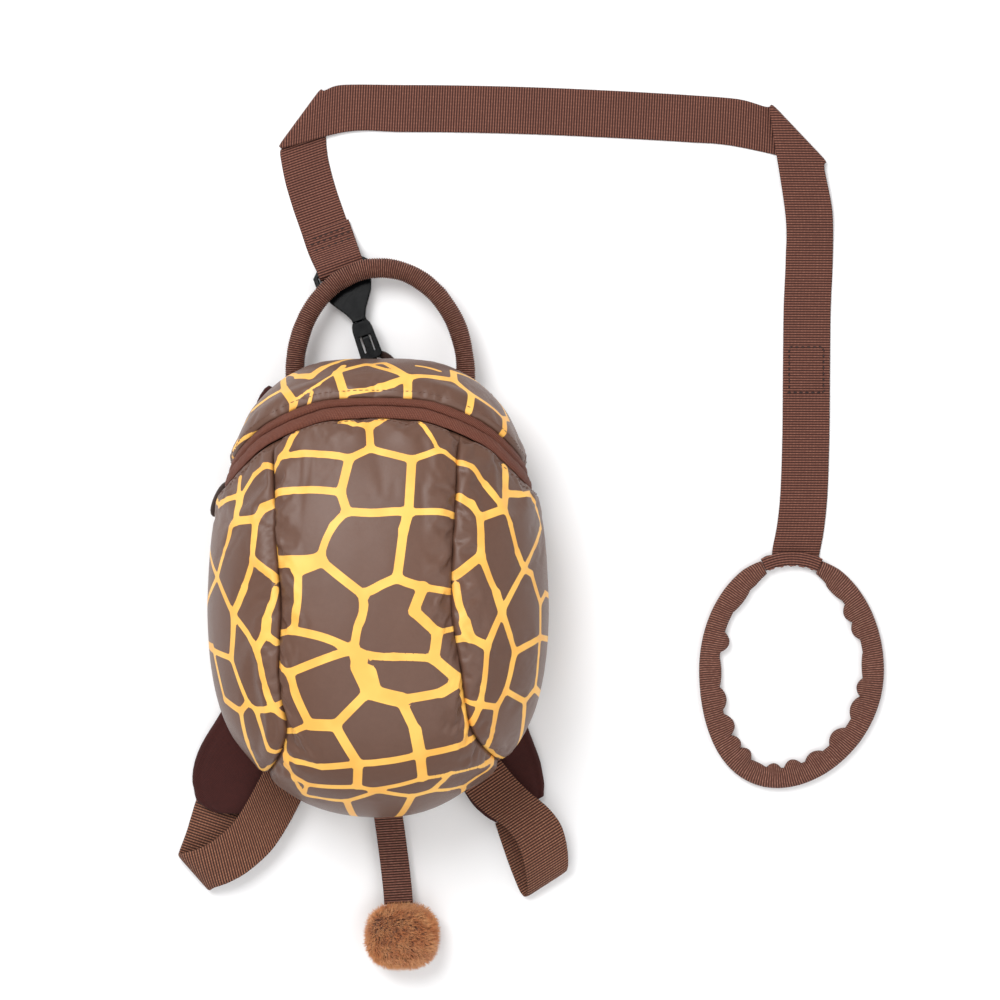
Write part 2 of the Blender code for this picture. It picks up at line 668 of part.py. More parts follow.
def turn_mesh(mesh, rule):
    """Move every vertex by a rule from its x, y and z, and keep the faces pointing out."""
    for vertex in mesh.vertices:
        vertex.co = rule(*vertex.co)
    work = bmesh.new()
    work.from_mesh(mesh)
    bmesh.ops.recalc_face_normals(work, faces=work.faces)
    work.to_mesh(mesh)
    work.free()
    return mesh


def cylinder_mesh(radius, low, high, sides):
    """A cylinder along the hook, at the middle of its height."""
    work = bmesh.new()
    bmesh.ops.create_cone(work, cap_ends=True, segments=sides, radius1=radius, radius2=radius,
                          depth=high - low)
    mesh = bpy.data.meshes.new("cylinder")
    work.to_mesh(mesh)
    work.free()
    middle = (high + low) / 2
    return turn_mesh(mesh, lambda x, y, z: place_hook(z + middle, x, y + JAW_HEIGHT / 2))


def combine(piece, mesh, operation, cutters):
    """Join or cut a piece with another mesh, kept as a hidden cutter."""
    tool = bpy.data.objects.new(piece.name + "_" + operation.lower(), mesh)
    cutters.objects.link(tool)
    tool.hide_render = True
    tool.display_type = "WIRE"
    join = piece.modifiers.new(operation.lower(), "BOOLEAN")
    join.operation = operation
    join.object = tool
    join.solver = "EXACT"
    return join


def mirrored(half):
    """A closed outline from its half on the +y side, given from start to end."""
    return list(half) + [(x, -y) for x, y in reversed(half)]


def arc(centre_x, centre_y, radius, first, last, count):
    """Points of an arc, angles in degrees."""
    turns = np.radians(np.linspace(first, last, count))
    return [(centre_x + radius * math.cos(t), centre_y + radius * math.sin(t)) for t in turns]


def make_hook(material, collection, cutters):
    """The snap hook: base with its strap bar, swivelling jaw and spring tongue."""
    half = BASE_WIDTH / 2
    neck = 0.32 * JAW_WIDTH
    corner = BASE_CORNER
    slot_end = -BASE_LENGTH + STRAP_BAR + STRAP_SLOT
    outer = mirrored([(-BASE_LENGTH, half - corner), (-BASE_LENGTH + corner, half),
                      (slot_end, half), (slot_end + corner, half - corner / 2),
                      (-0.44 * BASE_LENGTH, 0.36 * BASE_WIDTH),
                      (-0.18 * BASE_LENGTH, 1.47 * neck), (-0.06 * BASE_LENGTH, neck), (-GAP, neck)])
    slot_half = REIN_WIDTH / 2 + 2 * GAP
    slot = mirrored([(slot_end - STRAP_SLOT, slot_half), (slot_end, slot_half)])
    low = (JAW_HEIGHT - BASE_THICKNESS) / 2
    mesh = flat_prism([outer, slot], low, low + BASE_THICKNESS, 0.0005)
    base = add_object("hook_base", turn_mesh(mesh, place_hook), material, collection)
    bore = SWIVEL_DIAMETER / 2 + GAP
    combine(base, cylinder_mesh(bore, -SWIVEL_DEPTH - GAP, 0.004, 16), "DIFFERENCE", cutters)

    tongue = TONGUE_WIDTH / 2
    fork = tongue + SLOT_WIDTH
    jaw_half = JAW_WIDTH / 2
    middle = JAW_HEIGHT / 2
    bend_u = JAW_LENGTH - middle
    face_end = JAW_LENGTH - NOSE_LENGTH
    half = [(0.0002, 0.66 * jaw_half), (0.0022, 0.84 * jaw_half), (0.0048, 0.92 * jaw_half),
            (bend_u, jaw_half), (face_end - 0.0015, jaw_half - 0.0002),
            (face_end, jaw_half - 0.0020)]
    opening = mirrored([(SHANK_LENGTH, fork), (bend_u - 0.0013, fork)])
    mesh = flat_prism([mirrored(half), opening], JAW_HEIGHT - JAW_BAR, JAW_HEIGHT, 0.0004)
    jaw = add_object("hook_jaw", turn_mesh(mesh, place_hook), material, collection)

    inner = middle - JAW_BAR
    lip = TONGUE_TIP + GAP
    profile = [(0.0006, 0.0004), (SHANK_LENGTH - 0.001, 0), (bend_u, 0)]
    profile += arc(bend_u, middle, middle, -72, 90, 10)
    profile += [(lip, JAW_HEIGHT), (lip, JAW_HEIGHT - JAW_BAR)]
    profile += arc(bend_u, middle, inner, 90, -90, 9)
    profile += [(SHANK_LENGTH, JAW_BAR), (SHANK_LENGTH, JAW_HEIGHT - 0.0006),
                (0.0006, JAW_HEIGHT - 0.0006)]
    mesh = flat_prism([profile], -tongue, tongue, 0.0003)
    spine = turn_mesh(mesh, lambda x, y, z: place_hook(x, z, y))
    combine(jaw, spine, "UNION", cutters)
    shank = mirrored([(0.0004, 0.60 * jaw_half), (0.0016, 0.76 * jaw_half),
                      (SHANK_LENGTH - 0.0004, 0.80 * jaw_half)])
    block = flat_prism([shank], 0.0008, JAW_HEIGHT - 0.0010, 0.0004)
    combine(jaw, turn_mesh(block, place_hook), "UNION", cutters).name = "shank"
    combine(jaw, cylinder_mesh(SWIVEL_DIAMETER / 2, -SWIVEL_DEPTH, 0.0020, 12), "UNION",
            cutters).name = "stem"

    root = JAW_BAR / 2 - 0.0001
    pivot_u = SHANK_LENGTH + GAP + root
    pivot_w = JAW_HEIGHT - JAW_BAR / 2
    profile = arc(0, 0, root, 90, 270, 7)
    reach = TONGUE_TIP - pivot_u
    profile += [(reach * 0.55, -root), (reach, -root * 0.55), (reach, root)]
    mesh = flat_prism([profile], -tongue + GAP, tongue - GAP, 0.0002)
    gate = turn_mesh(mesh, lambda x, y, z: place_hook(pivot_u + x, z, pivot_w + y))
    pivot = place_hook(pivot_u, 0, pivot_w)
    for vertex in gate.vertices:
        vertex.co -= pivot
    tongue_piece = add_object("hook_tongue", gate, material, collection)
    tongue_piece.location = pivot
    return base, jaw, tongue_piece


def make_ribbon(name, rulings, thickness, material, collection):
    """Flat webbing through crosswise lines, each given by its two ends."""
    rows = [[first, first.lerp(second, 0.5), second] for first, second in rulings]
    piece = add_object(name, grid_mesh(rows), material, collection)
    add_wall(piece, thickness, 0)
    return piece


def rein_rulings():
    """Crosswise lines of the rein, with each fold rolled about its crease."""
    half = REIN_WIDTH / 2
    across = (place_hook(0, 1, 0) - place_hook(0, 0, 0)) * half
    lift = BASE_THICKNESS / 2 + GAP + REIN_THICKNESS / 2
    bar_u = STRAP_BAR / 2 - BASE_LENGTH
    bar = place_hook(bar_u, 0, JAW_HEIGHT / 2)
    floor_z = FLOOR + REIN[0][2] * REIN_THICKNESS
    upper_z = floor_z + REIN_THICKNESS + GAP
    rulings = []
    for share, climb in ((1, 0), (0.75, 0.02), (0.5, 0.22), (0.28, 0.62), (0.12, 0.92), (0, 1)):
        middle = place_hook(-BASE_LENGTH - share * REIN_TURNBACK, 0, 0)
        middle.z = upper_z + (bar.z + lift - upper_z) * climb
        rulings.append((middle - across, middle + across))
    for turn in np.radians((75, 50, 25, 0, -25, -50, -75, -105)):
        middle = place_hook(bar_u + BAR_CLEARANCE + BAR_WRAP * math.cos(turn), 0,
                            JAW_HEIGHT / 2 + lift * math.sin(turn))
        middle.z = max(middle.z, floor_z)
        rulings.append((middle - across, middle + across))
    points = [Vector((x * REIN_SPREAD, y * REIN_REACH, FLOOR + h * REIN_THICKNESS))
              for x, y, h, fold in REIN]
    side = across.to_2d()
    for i, (x, y, h, fold) in enumerate(REIN):
        before = (points[i] - points[max(i - 1, 0)]).to_2d()
        after = (points[min(i + 1, len(points) - 1)] - points[i]).to_2d()
        if fold:
            before.normalize()
            after.normalize()
            crease = (before + after).normalized()
            if crease.dot(side) < 0:
                crease = -crease
            reach = half / abs(before.x * crease.y - before.y * crease.x)
            out = before - crease * before.dot(crease)
            out.normalize()
            for turn in np.radians((0, 45, 90, 135, 180)):
                shift = out * (FOLD_RADIUS * (math.sin(turn) - 1))
                lift = FOLD_RADIUS * (1 - math.cos(turn))
                middle = points[i] + Vector((shift.x, shift.y, lift))
                arm = Vector((crease.x, crease.y, 0)) * reach
                rulings.append((middle - arm, middle + arm))
            side = crease
            continue
        heading = before.normalized() + after.normalized()
        if i == 0:
            heading = after
        if i == len(REIN) - 1:
            heading = Vector((0, -1))
        turned = Vector((-heading.y, heading.x)).normalized()
        side = turned if turned.dot(side) > 0 else -turned
        arm = Vector((side.x, side.y, 0)) * half
        rulings.append((points[i] - arm, points[i] + arm))
    return rulings


def make_straps(materials, collection):
    """The two webbing loops under the pads' lower ends."""
    for name, rows in (("strap_webbing_left", LEFT_STRAP), ("strap_webbing_right", RIGHT_STRAP)):
        rulings = []
        for x1, y1, x2, y2, h1, h2 in smooth(rows, 2 * len(rows) - 1):
            first = Vector((x1 * BODY_WIDTH / 2, y1 * BODY_LENGTH / 2, FLOOR + h1 * PAD_THICKNESS))
            second = Vector((x2 * BODY_WIDTH / 2, y2 * BODY_LENGTH / 2, FLOOR + h2 * PAD_THICKNESS))
            middle = (first + second) / 2
            arm = (second - first).normalized() * STRAP_WIDTH / 2
            rulings.append((middle - arm, middle + arm))
        make_ribbon(name, rulings, STRAP_THICKNESS, materials["strap_webbing"], collection)


def rounded_section(width, thickness, points=10):
    """A closed section with full round edges, its base at zero height."""
    section = []
    for i in range(points):
        turn = 2 * math.pi * (i + 0.5) / points
        x = math.copysign(abs(math.cos(turn)) ** 0.45, math.cos(turn)) * width / 2
        z = math.copysign(abs(math.sin(turn)) ** 0.55, math.sin(turn)) * thickness / 2
        section.append((x, z + thickness / 2))
    return section


def make_pads(material, collection):
    """The two shoulder pads, flat under the back and tapered at their ends."""
    for name, rows in (("shoulder_pad_left", LEFT_PAD), ("shoulder_pad_right", RIGHT_PAD)):
        fine = smooth(rows, 2 * len(rows) - 1)
        path = fine[:, :2] * (BODY_WIDTH / 2, BODY_LENGTH / 2)
        headings = np.gradient(path, axis=0)
        sections = []
        for (x, y), heading, (_, _, width, thick, lift) in zip(path, headings, fine):
            across = Vector((heading[1], -heading[0], 0)).normalized()
            tall = min(thick, 1.0) * PAD_THICKNESS
            base = FLOOR + max(lift, 0) * PAD_THICKNESS
            sections.append([Vector((x, y, base + z)) + across * s
                             for s, z in rounded_section(width * PAD_WIDTH, tall)])
        add_object(name, grid_mesh(sections, around=True), material, collection)


def make_tail(materials, collection):
    """The tail: a strip of webbing from the bottom seam, with a fur pompom at its end."""
    top = rim_point(-math.pi / 2, BACK_THICKNESS / 2)
    top.y -= 2 * GAP
    top.x = TAIL_X
    rulings = []
    for share, drift, drop in ((0, 0, 0), (0.12, 0.010, 0.05), (0.3, 0.035, 0.35),
                               (0.5, 0.060, 0.60), (0.7, 0.085, 0.62), (0.88, 0.105, 0.50),
                               (1.0, 0.115, 0.30)):
        middle = top + Vector((drift * TAIL_LENGTH, -share * TAIL_LENGTH, -drop * PAD_THICKNESS))
        arm = Vector((TAIL_WIDTH / 2, 0.06 * TAIL_WIDTH / 2, 0))
        rulings.append((middle - arm, middle + arm))
    make_ribbon("tail_webbing", rulings, TAIL_THICKNESS, materials["tail_webbing"], collection)

    end = (rulings[-1][0] + rulings[-1][1]) / 2
    centre = Vector((end.x + POMPOM_DRIFT, end.y - 0.89 * POMPOM_LENGTH / 2,
                     FLOOR + POMPOM_HEIGHT / 2 * POMPOM_SETTLE))
    work = bmesh.new()
    bmesh.ops.create_icosphere(work, subdivisions=4, radius=1)
    turn = math.pi * (3 - math.sqrt(5))
    locks = []
    count = 54
    for i in range(count):
        z = 1 - 2 * (i + 0.5) / count
        r = math.sqrt(1 - z * z)
        locks.append(Vector((r * math.cos(i * turn), r * math.sin(i * turn), z)))
    for vertex in work.verts:
        direction = vertex.co.normalized()
        near = max(direction.dot(lock) for lock in locks)
        bump = max(0.0, 1 - math.acos(min(near, 1.0)) / 0.27)
        radius = 0.90 + 0.10 * bump ** 0.8
        flat_top = 1 - 0.10 * max(0, direction.y) ** 3
        point = Vector((direction.x * POMPOM_WIDTH / 2 * radius,
                        direction.y * POMPOM_LENGTH / 2 * radius * flat_top,
                        direction.z * POMPOM_HEIGHT / 2 * radius))
        point.z = max(point.z, -POMPOM_HEIGHT / 2 * POMPOM_SETTLE)
        vertex.co = centre + point
    mesh = bpy.data.meshes.new("pompom")
    work.to_mesh(mesh)
    work.free()
    add_object("tail_pompom", mesh, materials["fur"], collection)


def loop_middle(turn):
    """Middle line of the wrist loop; turn 0 is at the top and grows clockwise."""
    x = (LOOP_WIDTH - LOOP_BAND) / 2 * math.sin(turn)
    y = (LOOP_HEIGHT - LOOP_BAND) / 2 * math.cos(turn)
    low = max(0.0, -math.cos(turn))
    return Vector((LOOP_X + x + LOOP_LEAN * low * low, LOOP_Y + y, 0))


def make_loop(materials, collection):
    """The gathered wrist loop and the sewn sleeve that joins its ends to the rein."""
    radius = (LOOP_WIDTH - LOOP_BAND) / 2
    opening = JOIN_LENGTH / 2 / radius
    steps = 5 * LOOP_GATHERS + 1
    sections = []
    for share in np.linspace(0, 1, steps):
        start = opening + GAP / radius
        turn = start + share * 2 * (math.pi - start)
        middle = loop_middle(turn)
        ahead = loop_middle(turn + 0.01) - loop_middle(turn - 0.01)
        outward = Vector((-ahead.y, ahead.x, 0)).normalized()
        wave = math.cos(2 * math.pi * share * LOOP_GATHERS)
        shoulder = min(1.0, 0.72 + 2.2 * min(share, 1 - share) * LOOP_GATHERS / 4)
        band = LOOP_BAND * shoulder
        tall = LOOP_THICKNESS * (0.80 + 0.20 * shoulder) * (1 + 0.06 * wave)
        section = []
        for x, z in rounded_section(band, tall):
            inner = max(0.0, -x / (band / 2))
            shift = LOOP_RUFFLE * wave * inner + (LOOP_BAND - band) / 2 * 0.4
            section.append(middle + outward * (x + shift) + Vector((0, 0, FLOOR + z)))
        sections.append(section)
    add_object("wrist_loop", grid_mesh(sections, around=True), materials["rein_webbing"],
               collection)

    base = FLOOR + REIN_THICKNESS + 2 * GAP
    sections = []
    for share in np.linspace(-1, 1, 9):
        middle = loop_middle(opening * share)
        ahead = loop_middle(opening * share + 0.01) - loop_middle(opening * share - 0.01)
        outward = Vector((-ahead.y, ahead.x, 0)).normalized()
        width = JOIN_WIDTH * (1 + 0.05 * math.cos(5 * math.pi * share))
        sections.append([middle + outward * (across + LOOP_BAND / 5) + Vector((0, 0, base + z))
                         for across, z in rounded_section(width, JOIN_THICKNESS, 8)])
    add_object("loop_join", grid_mesh(sections, around=True), materials["rein_webbing"],
               collection)


def make_zip_pull(materials, collection):
    """The slider at the zip's left end and the soft loop that pulls it."""
    place = zip_edge(1, -SLIDER_PLACE)
    seat = Vector(shell_point(*place))
    normal = Vector(shell_normal(*place))
    along = (Vector(shell_point(*zip_edge(1, -SLIDER_PLACE - 0.03)))
             - Vector(shell_point(*zip_edge(1, 0.03 - SLIDER_PLACE)))).normalized()
    across = normal.cross(along).normalized()
    centre = seat + normal * (-SEAM_DEPTH + SLIDER_THICKNESS / 2)
    work = bmesh.new()
    bmesh.ops.create_cube(work, size=1)
    for vertex in work.verts:
        x, y, z = vertex.co
        taper = 1 - 0.35 * (x > 0)
        vertex.co = (centre + along * x * SLIDER_LENGTH + across * y * SLIDER_WIDTH * taper
                     + normal * z * SLIDER_THICKNESS)
    work.normal_update()
    bmesh.ops.recalc_face_normals(work, faces=work.faces)
    mesh = bpy.data.meshes.new("slider")
    work.to_mesh(mesh)
    work.free()
    slider = add_object("zip_slider", mesh, materials["slider_metal"], collection)
    soften = slider.modifiers.new("edges", "BEVEL")
    soften.width = SLIDER_EDGE
    soften.segments = 1

    hang = Vector((-0.44, -1, 0.06)).normalized()
    rise = hang.cross(Vector((0.80, 0, 0.60))).normalized()
    start = centre + normal * (SLIDER_THICKNESS / 2 + PULL_DIAMETER / 2 + GAP)
    lean = Vector((-0.42, 0, -0.05)) * PULL_DIAMETER
    middle = start + hang * (PULL_LENGTH / 2 - PULL_DIAMETER) + lean
    points = []
    for turn in np.linspace(0, 2 * math.pi, 20, endpoint=False):
        points.append(middle + hang * (math.cos(turn) * (PULL_LENGTH - PULL_DIAMETER) / 2)
                      + rise * (math.sin(turn) * (PULL_WIDTH - PULL_DIAMETER) / 2))
    make_tube("zip_pull", points, PULL_DIAMETER, materials["pull_cord"], collection, closed=True)


def main():
    """Build every piece of the pack."""
    for old in list(bpy.data.objects):
        bpy.data.objects.remove(old)
    collection = bpy.data.collections.new("animal_backpack")
    cutters = bpy.data.collections.new("cutters")
    bpy.context.scene.collection.children.link(collection)
    bpy.context.scene.collection.children.link(cutters)
    materials = {
        "shell_fabric": make_material("shell_fabric", (0.20, 0.13, 0.10), 0.45),
        "zip_tape": make_material("zip_tape", (0.15, 0.042, 0.026), 0.8),
        "back_fabric": make_material("back_fabric", (0.05, 0.016, 0.015), 0.85),
        "pad_fabric": make_material("pad_fabric", (0.062, 0.020, 0.019), 0.8),
        "rein_webbing": make_material("rein_webbing", (0.16, 0.058, 0.042), 0.75),
        "strap_webbing": make_material("strap_webbing", (0.12, 0.042, 0.026), 0.75),
        "tail_webbing": make_material("tail_webbing", (0.14, 0.050, 0.034), 0.75),
        "fur": make_material("fur", (0.34, 0.15, 0.065), 0.9),
        "black_plastic": make_material("black_plastic", (0.010, 0.011, 0.012), 0.35),
        "ring_plastic": make_material("ring_plastic", (0.040, 0.022, 0.018), 0.45),
        "slider_metal": make_material("slider_metal", (0.10, 0.055, 0.04), 0.4, 0.8),
        "pull_cord": make_material("pull_cord", (0.07, 0.04, 0.032), 0.6),
    }
    make_body(materials, collection)
    make_pads(materials["pad_fabric"], collection)
    make_straps(materials, collection)
    make_handle(materials["rein_webbing"], collection)
    make_ring(materials["ring_plastic"], collection)
    make_hook(materials["black_plastic"], collection, cutters)
    make_ribbon("rein", rein_rulings(), REIN_THICKNESS, materials["rein_webbing"], collection)
    make_loop(materials, collection)
    make_tail(materials, collection)
    make_zip_pull(materials, collection)


main()
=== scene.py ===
"""Dresses the animal backpack: cloth, print, webbing, hook, fur, and the studio round it.

Metres, +Z up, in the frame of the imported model. The tables repeat the model's own.
"""

import math

import bmesh
import bpy
import numpy as np
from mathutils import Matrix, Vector


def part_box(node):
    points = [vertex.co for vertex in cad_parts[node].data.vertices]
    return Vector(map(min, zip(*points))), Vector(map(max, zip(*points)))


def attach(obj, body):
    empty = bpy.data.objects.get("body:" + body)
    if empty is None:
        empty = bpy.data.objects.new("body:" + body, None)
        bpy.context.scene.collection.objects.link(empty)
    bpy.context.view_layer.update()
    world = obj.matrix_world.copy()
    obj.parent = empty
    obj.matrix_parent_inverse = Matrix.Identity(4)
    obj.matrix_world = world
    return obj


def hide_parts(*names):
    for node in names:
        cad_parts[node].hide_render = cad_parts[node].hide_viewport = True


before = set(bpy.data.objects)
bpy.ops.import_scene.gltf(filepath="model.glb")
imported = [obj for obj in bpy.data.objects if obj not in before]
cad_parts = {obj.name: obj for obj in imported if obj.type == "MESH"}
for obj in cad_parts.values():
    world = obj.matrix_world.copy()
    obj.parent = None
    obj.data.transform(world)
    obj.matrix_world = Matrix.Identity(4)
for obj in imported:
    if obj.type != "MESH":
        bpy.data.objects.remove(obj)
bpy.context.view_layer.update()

bl_info = {
    "name": "Animal backpack",
    "version": (1, 0, 0),
    "blender": (4, 5, 0),
    "location": "3D View > Sidebar > Backpack",
    "description": "Dresses a toddler's animal backpack with its cloth, webbing and fur",
    "category": "Object",
}

# Body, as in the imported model
BODY_WIDTH = 0.1775
BODY_LENGTH = 0.2385
BODY_DEPTH = 0.108
SUMMIT_Y = -0.012
SQUARENESS = 2.35
SQUARENESS_TILT = 0.25
EQUATOR_HEIGHT = 0.0324
RIM_INSET = 0.0085
RIM_HEIGHT = 0.0063
REACH_WIDEST = 0.78
UNDERCUT = math.radians(70)
FLOOR = -0.0085
PAD_THICKNESS = 0.0082
BACK_THICKNESS = 0.006
PAD_WIDTH = 0.045
SEAM_DEPTH = 0.0032

OUTLINE = (  # share of half the width, share of half the length
    (0.000, 1.005), (0.200, 1.003), (0.370, 0.985), (0.520, 0.935), (0.655, 0.860),
    (0.765, 0.765), (0.850, 0.630), (0.915, 0.490), (0.955, 0.360), (0.985, 0.210),
    (1.000, 0.030), (1.003, -0.130), (0.985, -0.330), (0.940, -0.500), (0.870, -0.630),
    (0.775, -0.735), (0.660, -0.820), (0.520, -0.895), (0.360, -0.955), (0.180, -0.992),
    (0.000, -1.005),
)
ZIP = (  # lower edge turn and reach, slit turn and reach, upper edge turn and reach
    (0.0, 0.428, 0.0, 0.474, 0.0, 0.502),
    (11.0, 0.426, 10.5, 0.472, 10.0, 0.500),
    (21.0, 0.438, 20.0, 0.481, 19.0, 0.512),
    (30.0, 0.470, 28.5, 0.512, 27.5, 0.543),
    (38.0, 0.526, 35.5, 0.560, 34.0, 0.585),
    (44.7, 0.592, 41.5, 0.622, 39.5, 0.650),
    (49.5, 0.665, 46.5, 0.705, 44.0, 0.738),
    (52.5, 0.790, 49.8, 0.820, 47.2, 0.850),
    (54.0, 1.000, 51.0, 1.000, 48.0, 1.000),
)
SEAM_ON_ZIP = (-3.15 / 8, 2.55 / 8)
LEFT_SEAM = (
    (-0.238, 0.306), (-0.248, 0.179), (-0.251, 0.050), (-0.2445, -0.071),
    (-0.224, -0.185), (-0.214, -0.270), (-0.238, -0.340), (-0.291, -0.430),
    (-0.368, -0.540), (-0.452, -0.660), (-0.566, -0.824),
)
RIGHT_SEAM = (
    (0.182, 0.327), (0.185, 0.190), (0.202, 0.068), (0.2065, -0.060),
    (0.215, -0.175), (0.244, -0.275), (0.289, -0.350), (0.352, -0.428),
    (0.436, -0.530), (0.520, -0.645), (0.622, -0.783),
)
DENTS = (  # reach times cosine and sine, radius, depth in shares of the body's depth
    (-0.42, -0.10, 0.16, 0.020), (0.40, 0.12, 0.15, 0.018), (-0.02, -0.58, 0.14, 0.016),
    (-0.36, 0.24, 0.10, 0.012), (0.40, -0.36, 0.12, 0.016), (0.00, 0.20, 0.18, 0.010),
)
LEFT_PAD = (  # x and y in shares of half the body's sizes, width and thickness in shares, lift
    (-0.500, 0.860, 0.62, 0.80, 0.10), (-0.515, 0.800, 0.98, 1.00, 0.00),
    (-0.505, 0.560, 1.00, 1.00, 0.00), (-0.490, 0.220, 0.94, 1.00, 0.00),
    (-0.500, -0.140, 0.92, 1.00, 0.00), (-0.590, -0.420, 0.98, 1.00, 0.00),
    (-0.735, -0.650, 1.02, 0.98, 0.00), (-0.865, -0.830, 1.06, 0.86, 0.04),
    (-0.890, -0.930, 0.98, 0.74, 0.19), (-0.893, -0.990, 0.80, 0.62, 0.24),
    (-0.895, -1.030, 0.44, 0.44, 0.28),
)
RIGHT_PAD = (
    (0.470, 0.850, 0.62, 0.80, 0.10), (0.480, 0.790, 0.94, 1.00, 0.00),
    (0.480, 0.540, 0.98, 1.00, 0.00), (0.480, 0.200, 0.94, 1.00, 0.00),
    (0.490, -0.140, 0.94, 1.00, 0.00), (0.545, -0.440, 0.98, 1.00, 0.00),
    (0.640, -0.680, 1.00, 0.98, 0.00), (0.735, -0.860, 0.98, 0.86, 0.04),
    (0.800, -0.955, 0.84, 0.72, 0.16), (0.840, -1.010, 0.66, 0.58, 0.22),
)
LEFT_STRAP = (  # outer x, outer y, inner x, inner y, outer height, inner height
    (-1.095, -0.930, -0.838, -0.995, 0.10, 0.10),
    (-1.130, -0.985, -0.870, -1.065, 0.10, 0.10),
    (-1.190, -1.110, -0.925, -1.215, 0.10, 0.10),
    (-1.228, -1.180, -0.985, -1.320, 0.12, 0.12),
    (-1.243, -1.205, -1.028, -1.386, 0.50, 0.50),
    (-1.222, -1.196, -0.995, -1.372, 1.00, 1.00),
    (-1.150, -1.188, -0.925, -1.345, 1.30, 1.36),
    (-1.055, -1.168, -0.835, -1.300, 1.44, 1.52),
    (-0.960, -1.130, -0.750, -1.240, 1.50, 1.56),
    (-0.872, -1.078, -0.672, -1.172, 1.50, 1.54),
    (-0.808, -1.005, -0.595, -1.090, 1.48, 1.50),
    (-0.745, -0.912, -0.528, -1.010, 1.45, 1.45),
    (-0.6880, -0.8190, -0.4700, -0.9350, 1.42, 1.42),
)
RIGHT_STRAP = (
    (0.930, -0.975, 0.700, -1.075, 0.10, 0.10),
    (0.965, -1.050, 0.735, -1.165, 0.10, 0.10),
    (1.015, -1.160, 0.788, -1.278, 0.10, 0.10),
    (1.075, -1.270, 0.850, -1.385, 0.12, 0.12),
    (1.110, -1.290, 0.882, -1.402, 0.55, 0.50),
    (1.135, -1.260, 0.885, -1.372, 1.10, 1.00),
    (1.130, -1.165, 0.865, -1.265, 1.62, 1.48),
    (1.095, -1.065, 0.815, -1.155, 1.84, 1.70),
    (1.020, -0.985, 0.730, -1.085, 1.80, 1.70),
    (0.915, -0.920, 0.635, -1.035, 1.66, 1.62),
    (0.815, -0.850, 0.560, -0.985, 1.52, 1.50),
    (0.7230, -0.7730, 0.5000, -0.9200, 1.42, 1.42),
)
STRAP_WIDTH = 0.0255
STRAP_THICKNESS = 0.0014

REIN_WIDTH = 0.0255
REIN_THICKNESS = 0.0014
REIN_TURNBACK = 0.0220
REIN_SPREAD = 0.2680
REIN_REACH = 0.2560
FOLD_RADIUS = 0.0013
TURNBACK_SHARES = (1, 0.75, 0.5, 0.28, 0.12, 0)
SEWN_ROWS = ((0.0034, 0.62), (0.0066, 0.80), (0.0102, 0.72))  # from the cut edge, share of width
SEWN_BOX = (0.2200, 0.2385, 0.1040, 0.1285)  # left, right, low and high side of the sewn box
REIN = (  # x and y in shares, height in rein thicknesses, 1 where it is folded over
    (-0.1007, 0.7113, 0.56, 0), (-0.1180, 0.7640, 0.56, 0), (-0.1340, 0.8125, 0.56, 0),
    (-0.1480, 0.8633, 0.56, 0), (-0.1570, 0.9137, 0.56, 0), (-0.1630, 0.9842, 0.56, 1),
    (-0.0750, 1.0045, 1.60, 0),
    (0.0400, 1.0050, 0.60, 0), (0.1600, 1.0040, 0.56, 0), (0.3600, 0.9980, 0.56, 0),
    (0.6200, 0.9835, 0.56, 0), (0.7100, 0.9760, 0.56, 0), (0.8400, 0.9515, 0.56, 1),
    (0.8610, 0.7760, 1.60, 0), (0.8615, 0.6860, 0.60, 0), (0.8575, 0.5850, 0.56, 0),
    (0.8560, 0.4600, 0.56, 0), (0.8545, 0.3000, 0.56, 0), (0.8500, 0.1800, 0.56, 0),
    (0.8430, 0.1150, 0.56, 0), (0.8340, 0.0660, 0.56, 0), (0.8330, 0.0490, 0.56, 0),
)
HOOK_X = -0.0113
HOOK_Y = 0.1417
HOOK_TURN = math.radians(-70.4)
HOOK_TILT = math.radians(3.5)
HOOK_HEIGHT = 0.0070
JAW_HEIGHT = 0.0094
BASE_LENGTH = 0.0330
BASE_THICKNESS = 0.0048
STRAP_BAR = 0.0032

HANDLE_DIAMETER = 0.0114
HANDLE_WIDTH = 0.0915
HANDLE_HEIGHT = 0.0585
HANDLE_LIFT = 0.0175
HANDLE_SAG = 0.0020
HANDLE_FOOT_Y = 0.1116
TAIL_WIDTH = 0.0155
TAIL_THICKNESS = 0.0014
TAIL_LENGTH = 0.0590
TAIL_X = 0.0028

LOOP_WIDTH = 0.0996
LOOP_HEIGHT = 0.1269
LOOP_X = 0.2211
LOOP_Y = -0.0458
LOOP_BAND = 0.0112
LOOP_THICKNESS = 0.0062
LOOP_LEAN = -0.0076
JOIN_LENGTH = 0.0290
JOIN_WIDTH = 0.0076
JOIN_THICKNESS = 0.0042
JUNCTION = 1.1  # how far from where two printed lines meet they thicken, in millimetres
# Where the loop's inner edge bulges: degrees clockwise from the top, width in degrees, height
RUFFLES = (
    (37, 8, 0.0014), (55, 6.5, 0.0036), (66, 6, 0.0032), (88, 8, 0.0012), (100, 5.5, 0.0032),
    (112.5, 7, 0.0032), (133, 7, 0.0038), (152, 6.5, 0.0028), (168, 6.5, 0.0036),
    (183, 6, 0.0026), (198, 7, 0.0008), (212, 7, 0.0036), (224, 6, 0.0028), (237.5, 7, 0.0038),
    (254, 6.5, 0.0028), (269, 8, 0.0012), (286.5, 6, 0.0038), (315, 9, 0.0014),
)

# Degrees round the body between which each panel meets the rim
RIM_SPANS = {"centre": (-124, -52), "left": (144, 235), "right": (-51, 37), "top": (42, 138)}
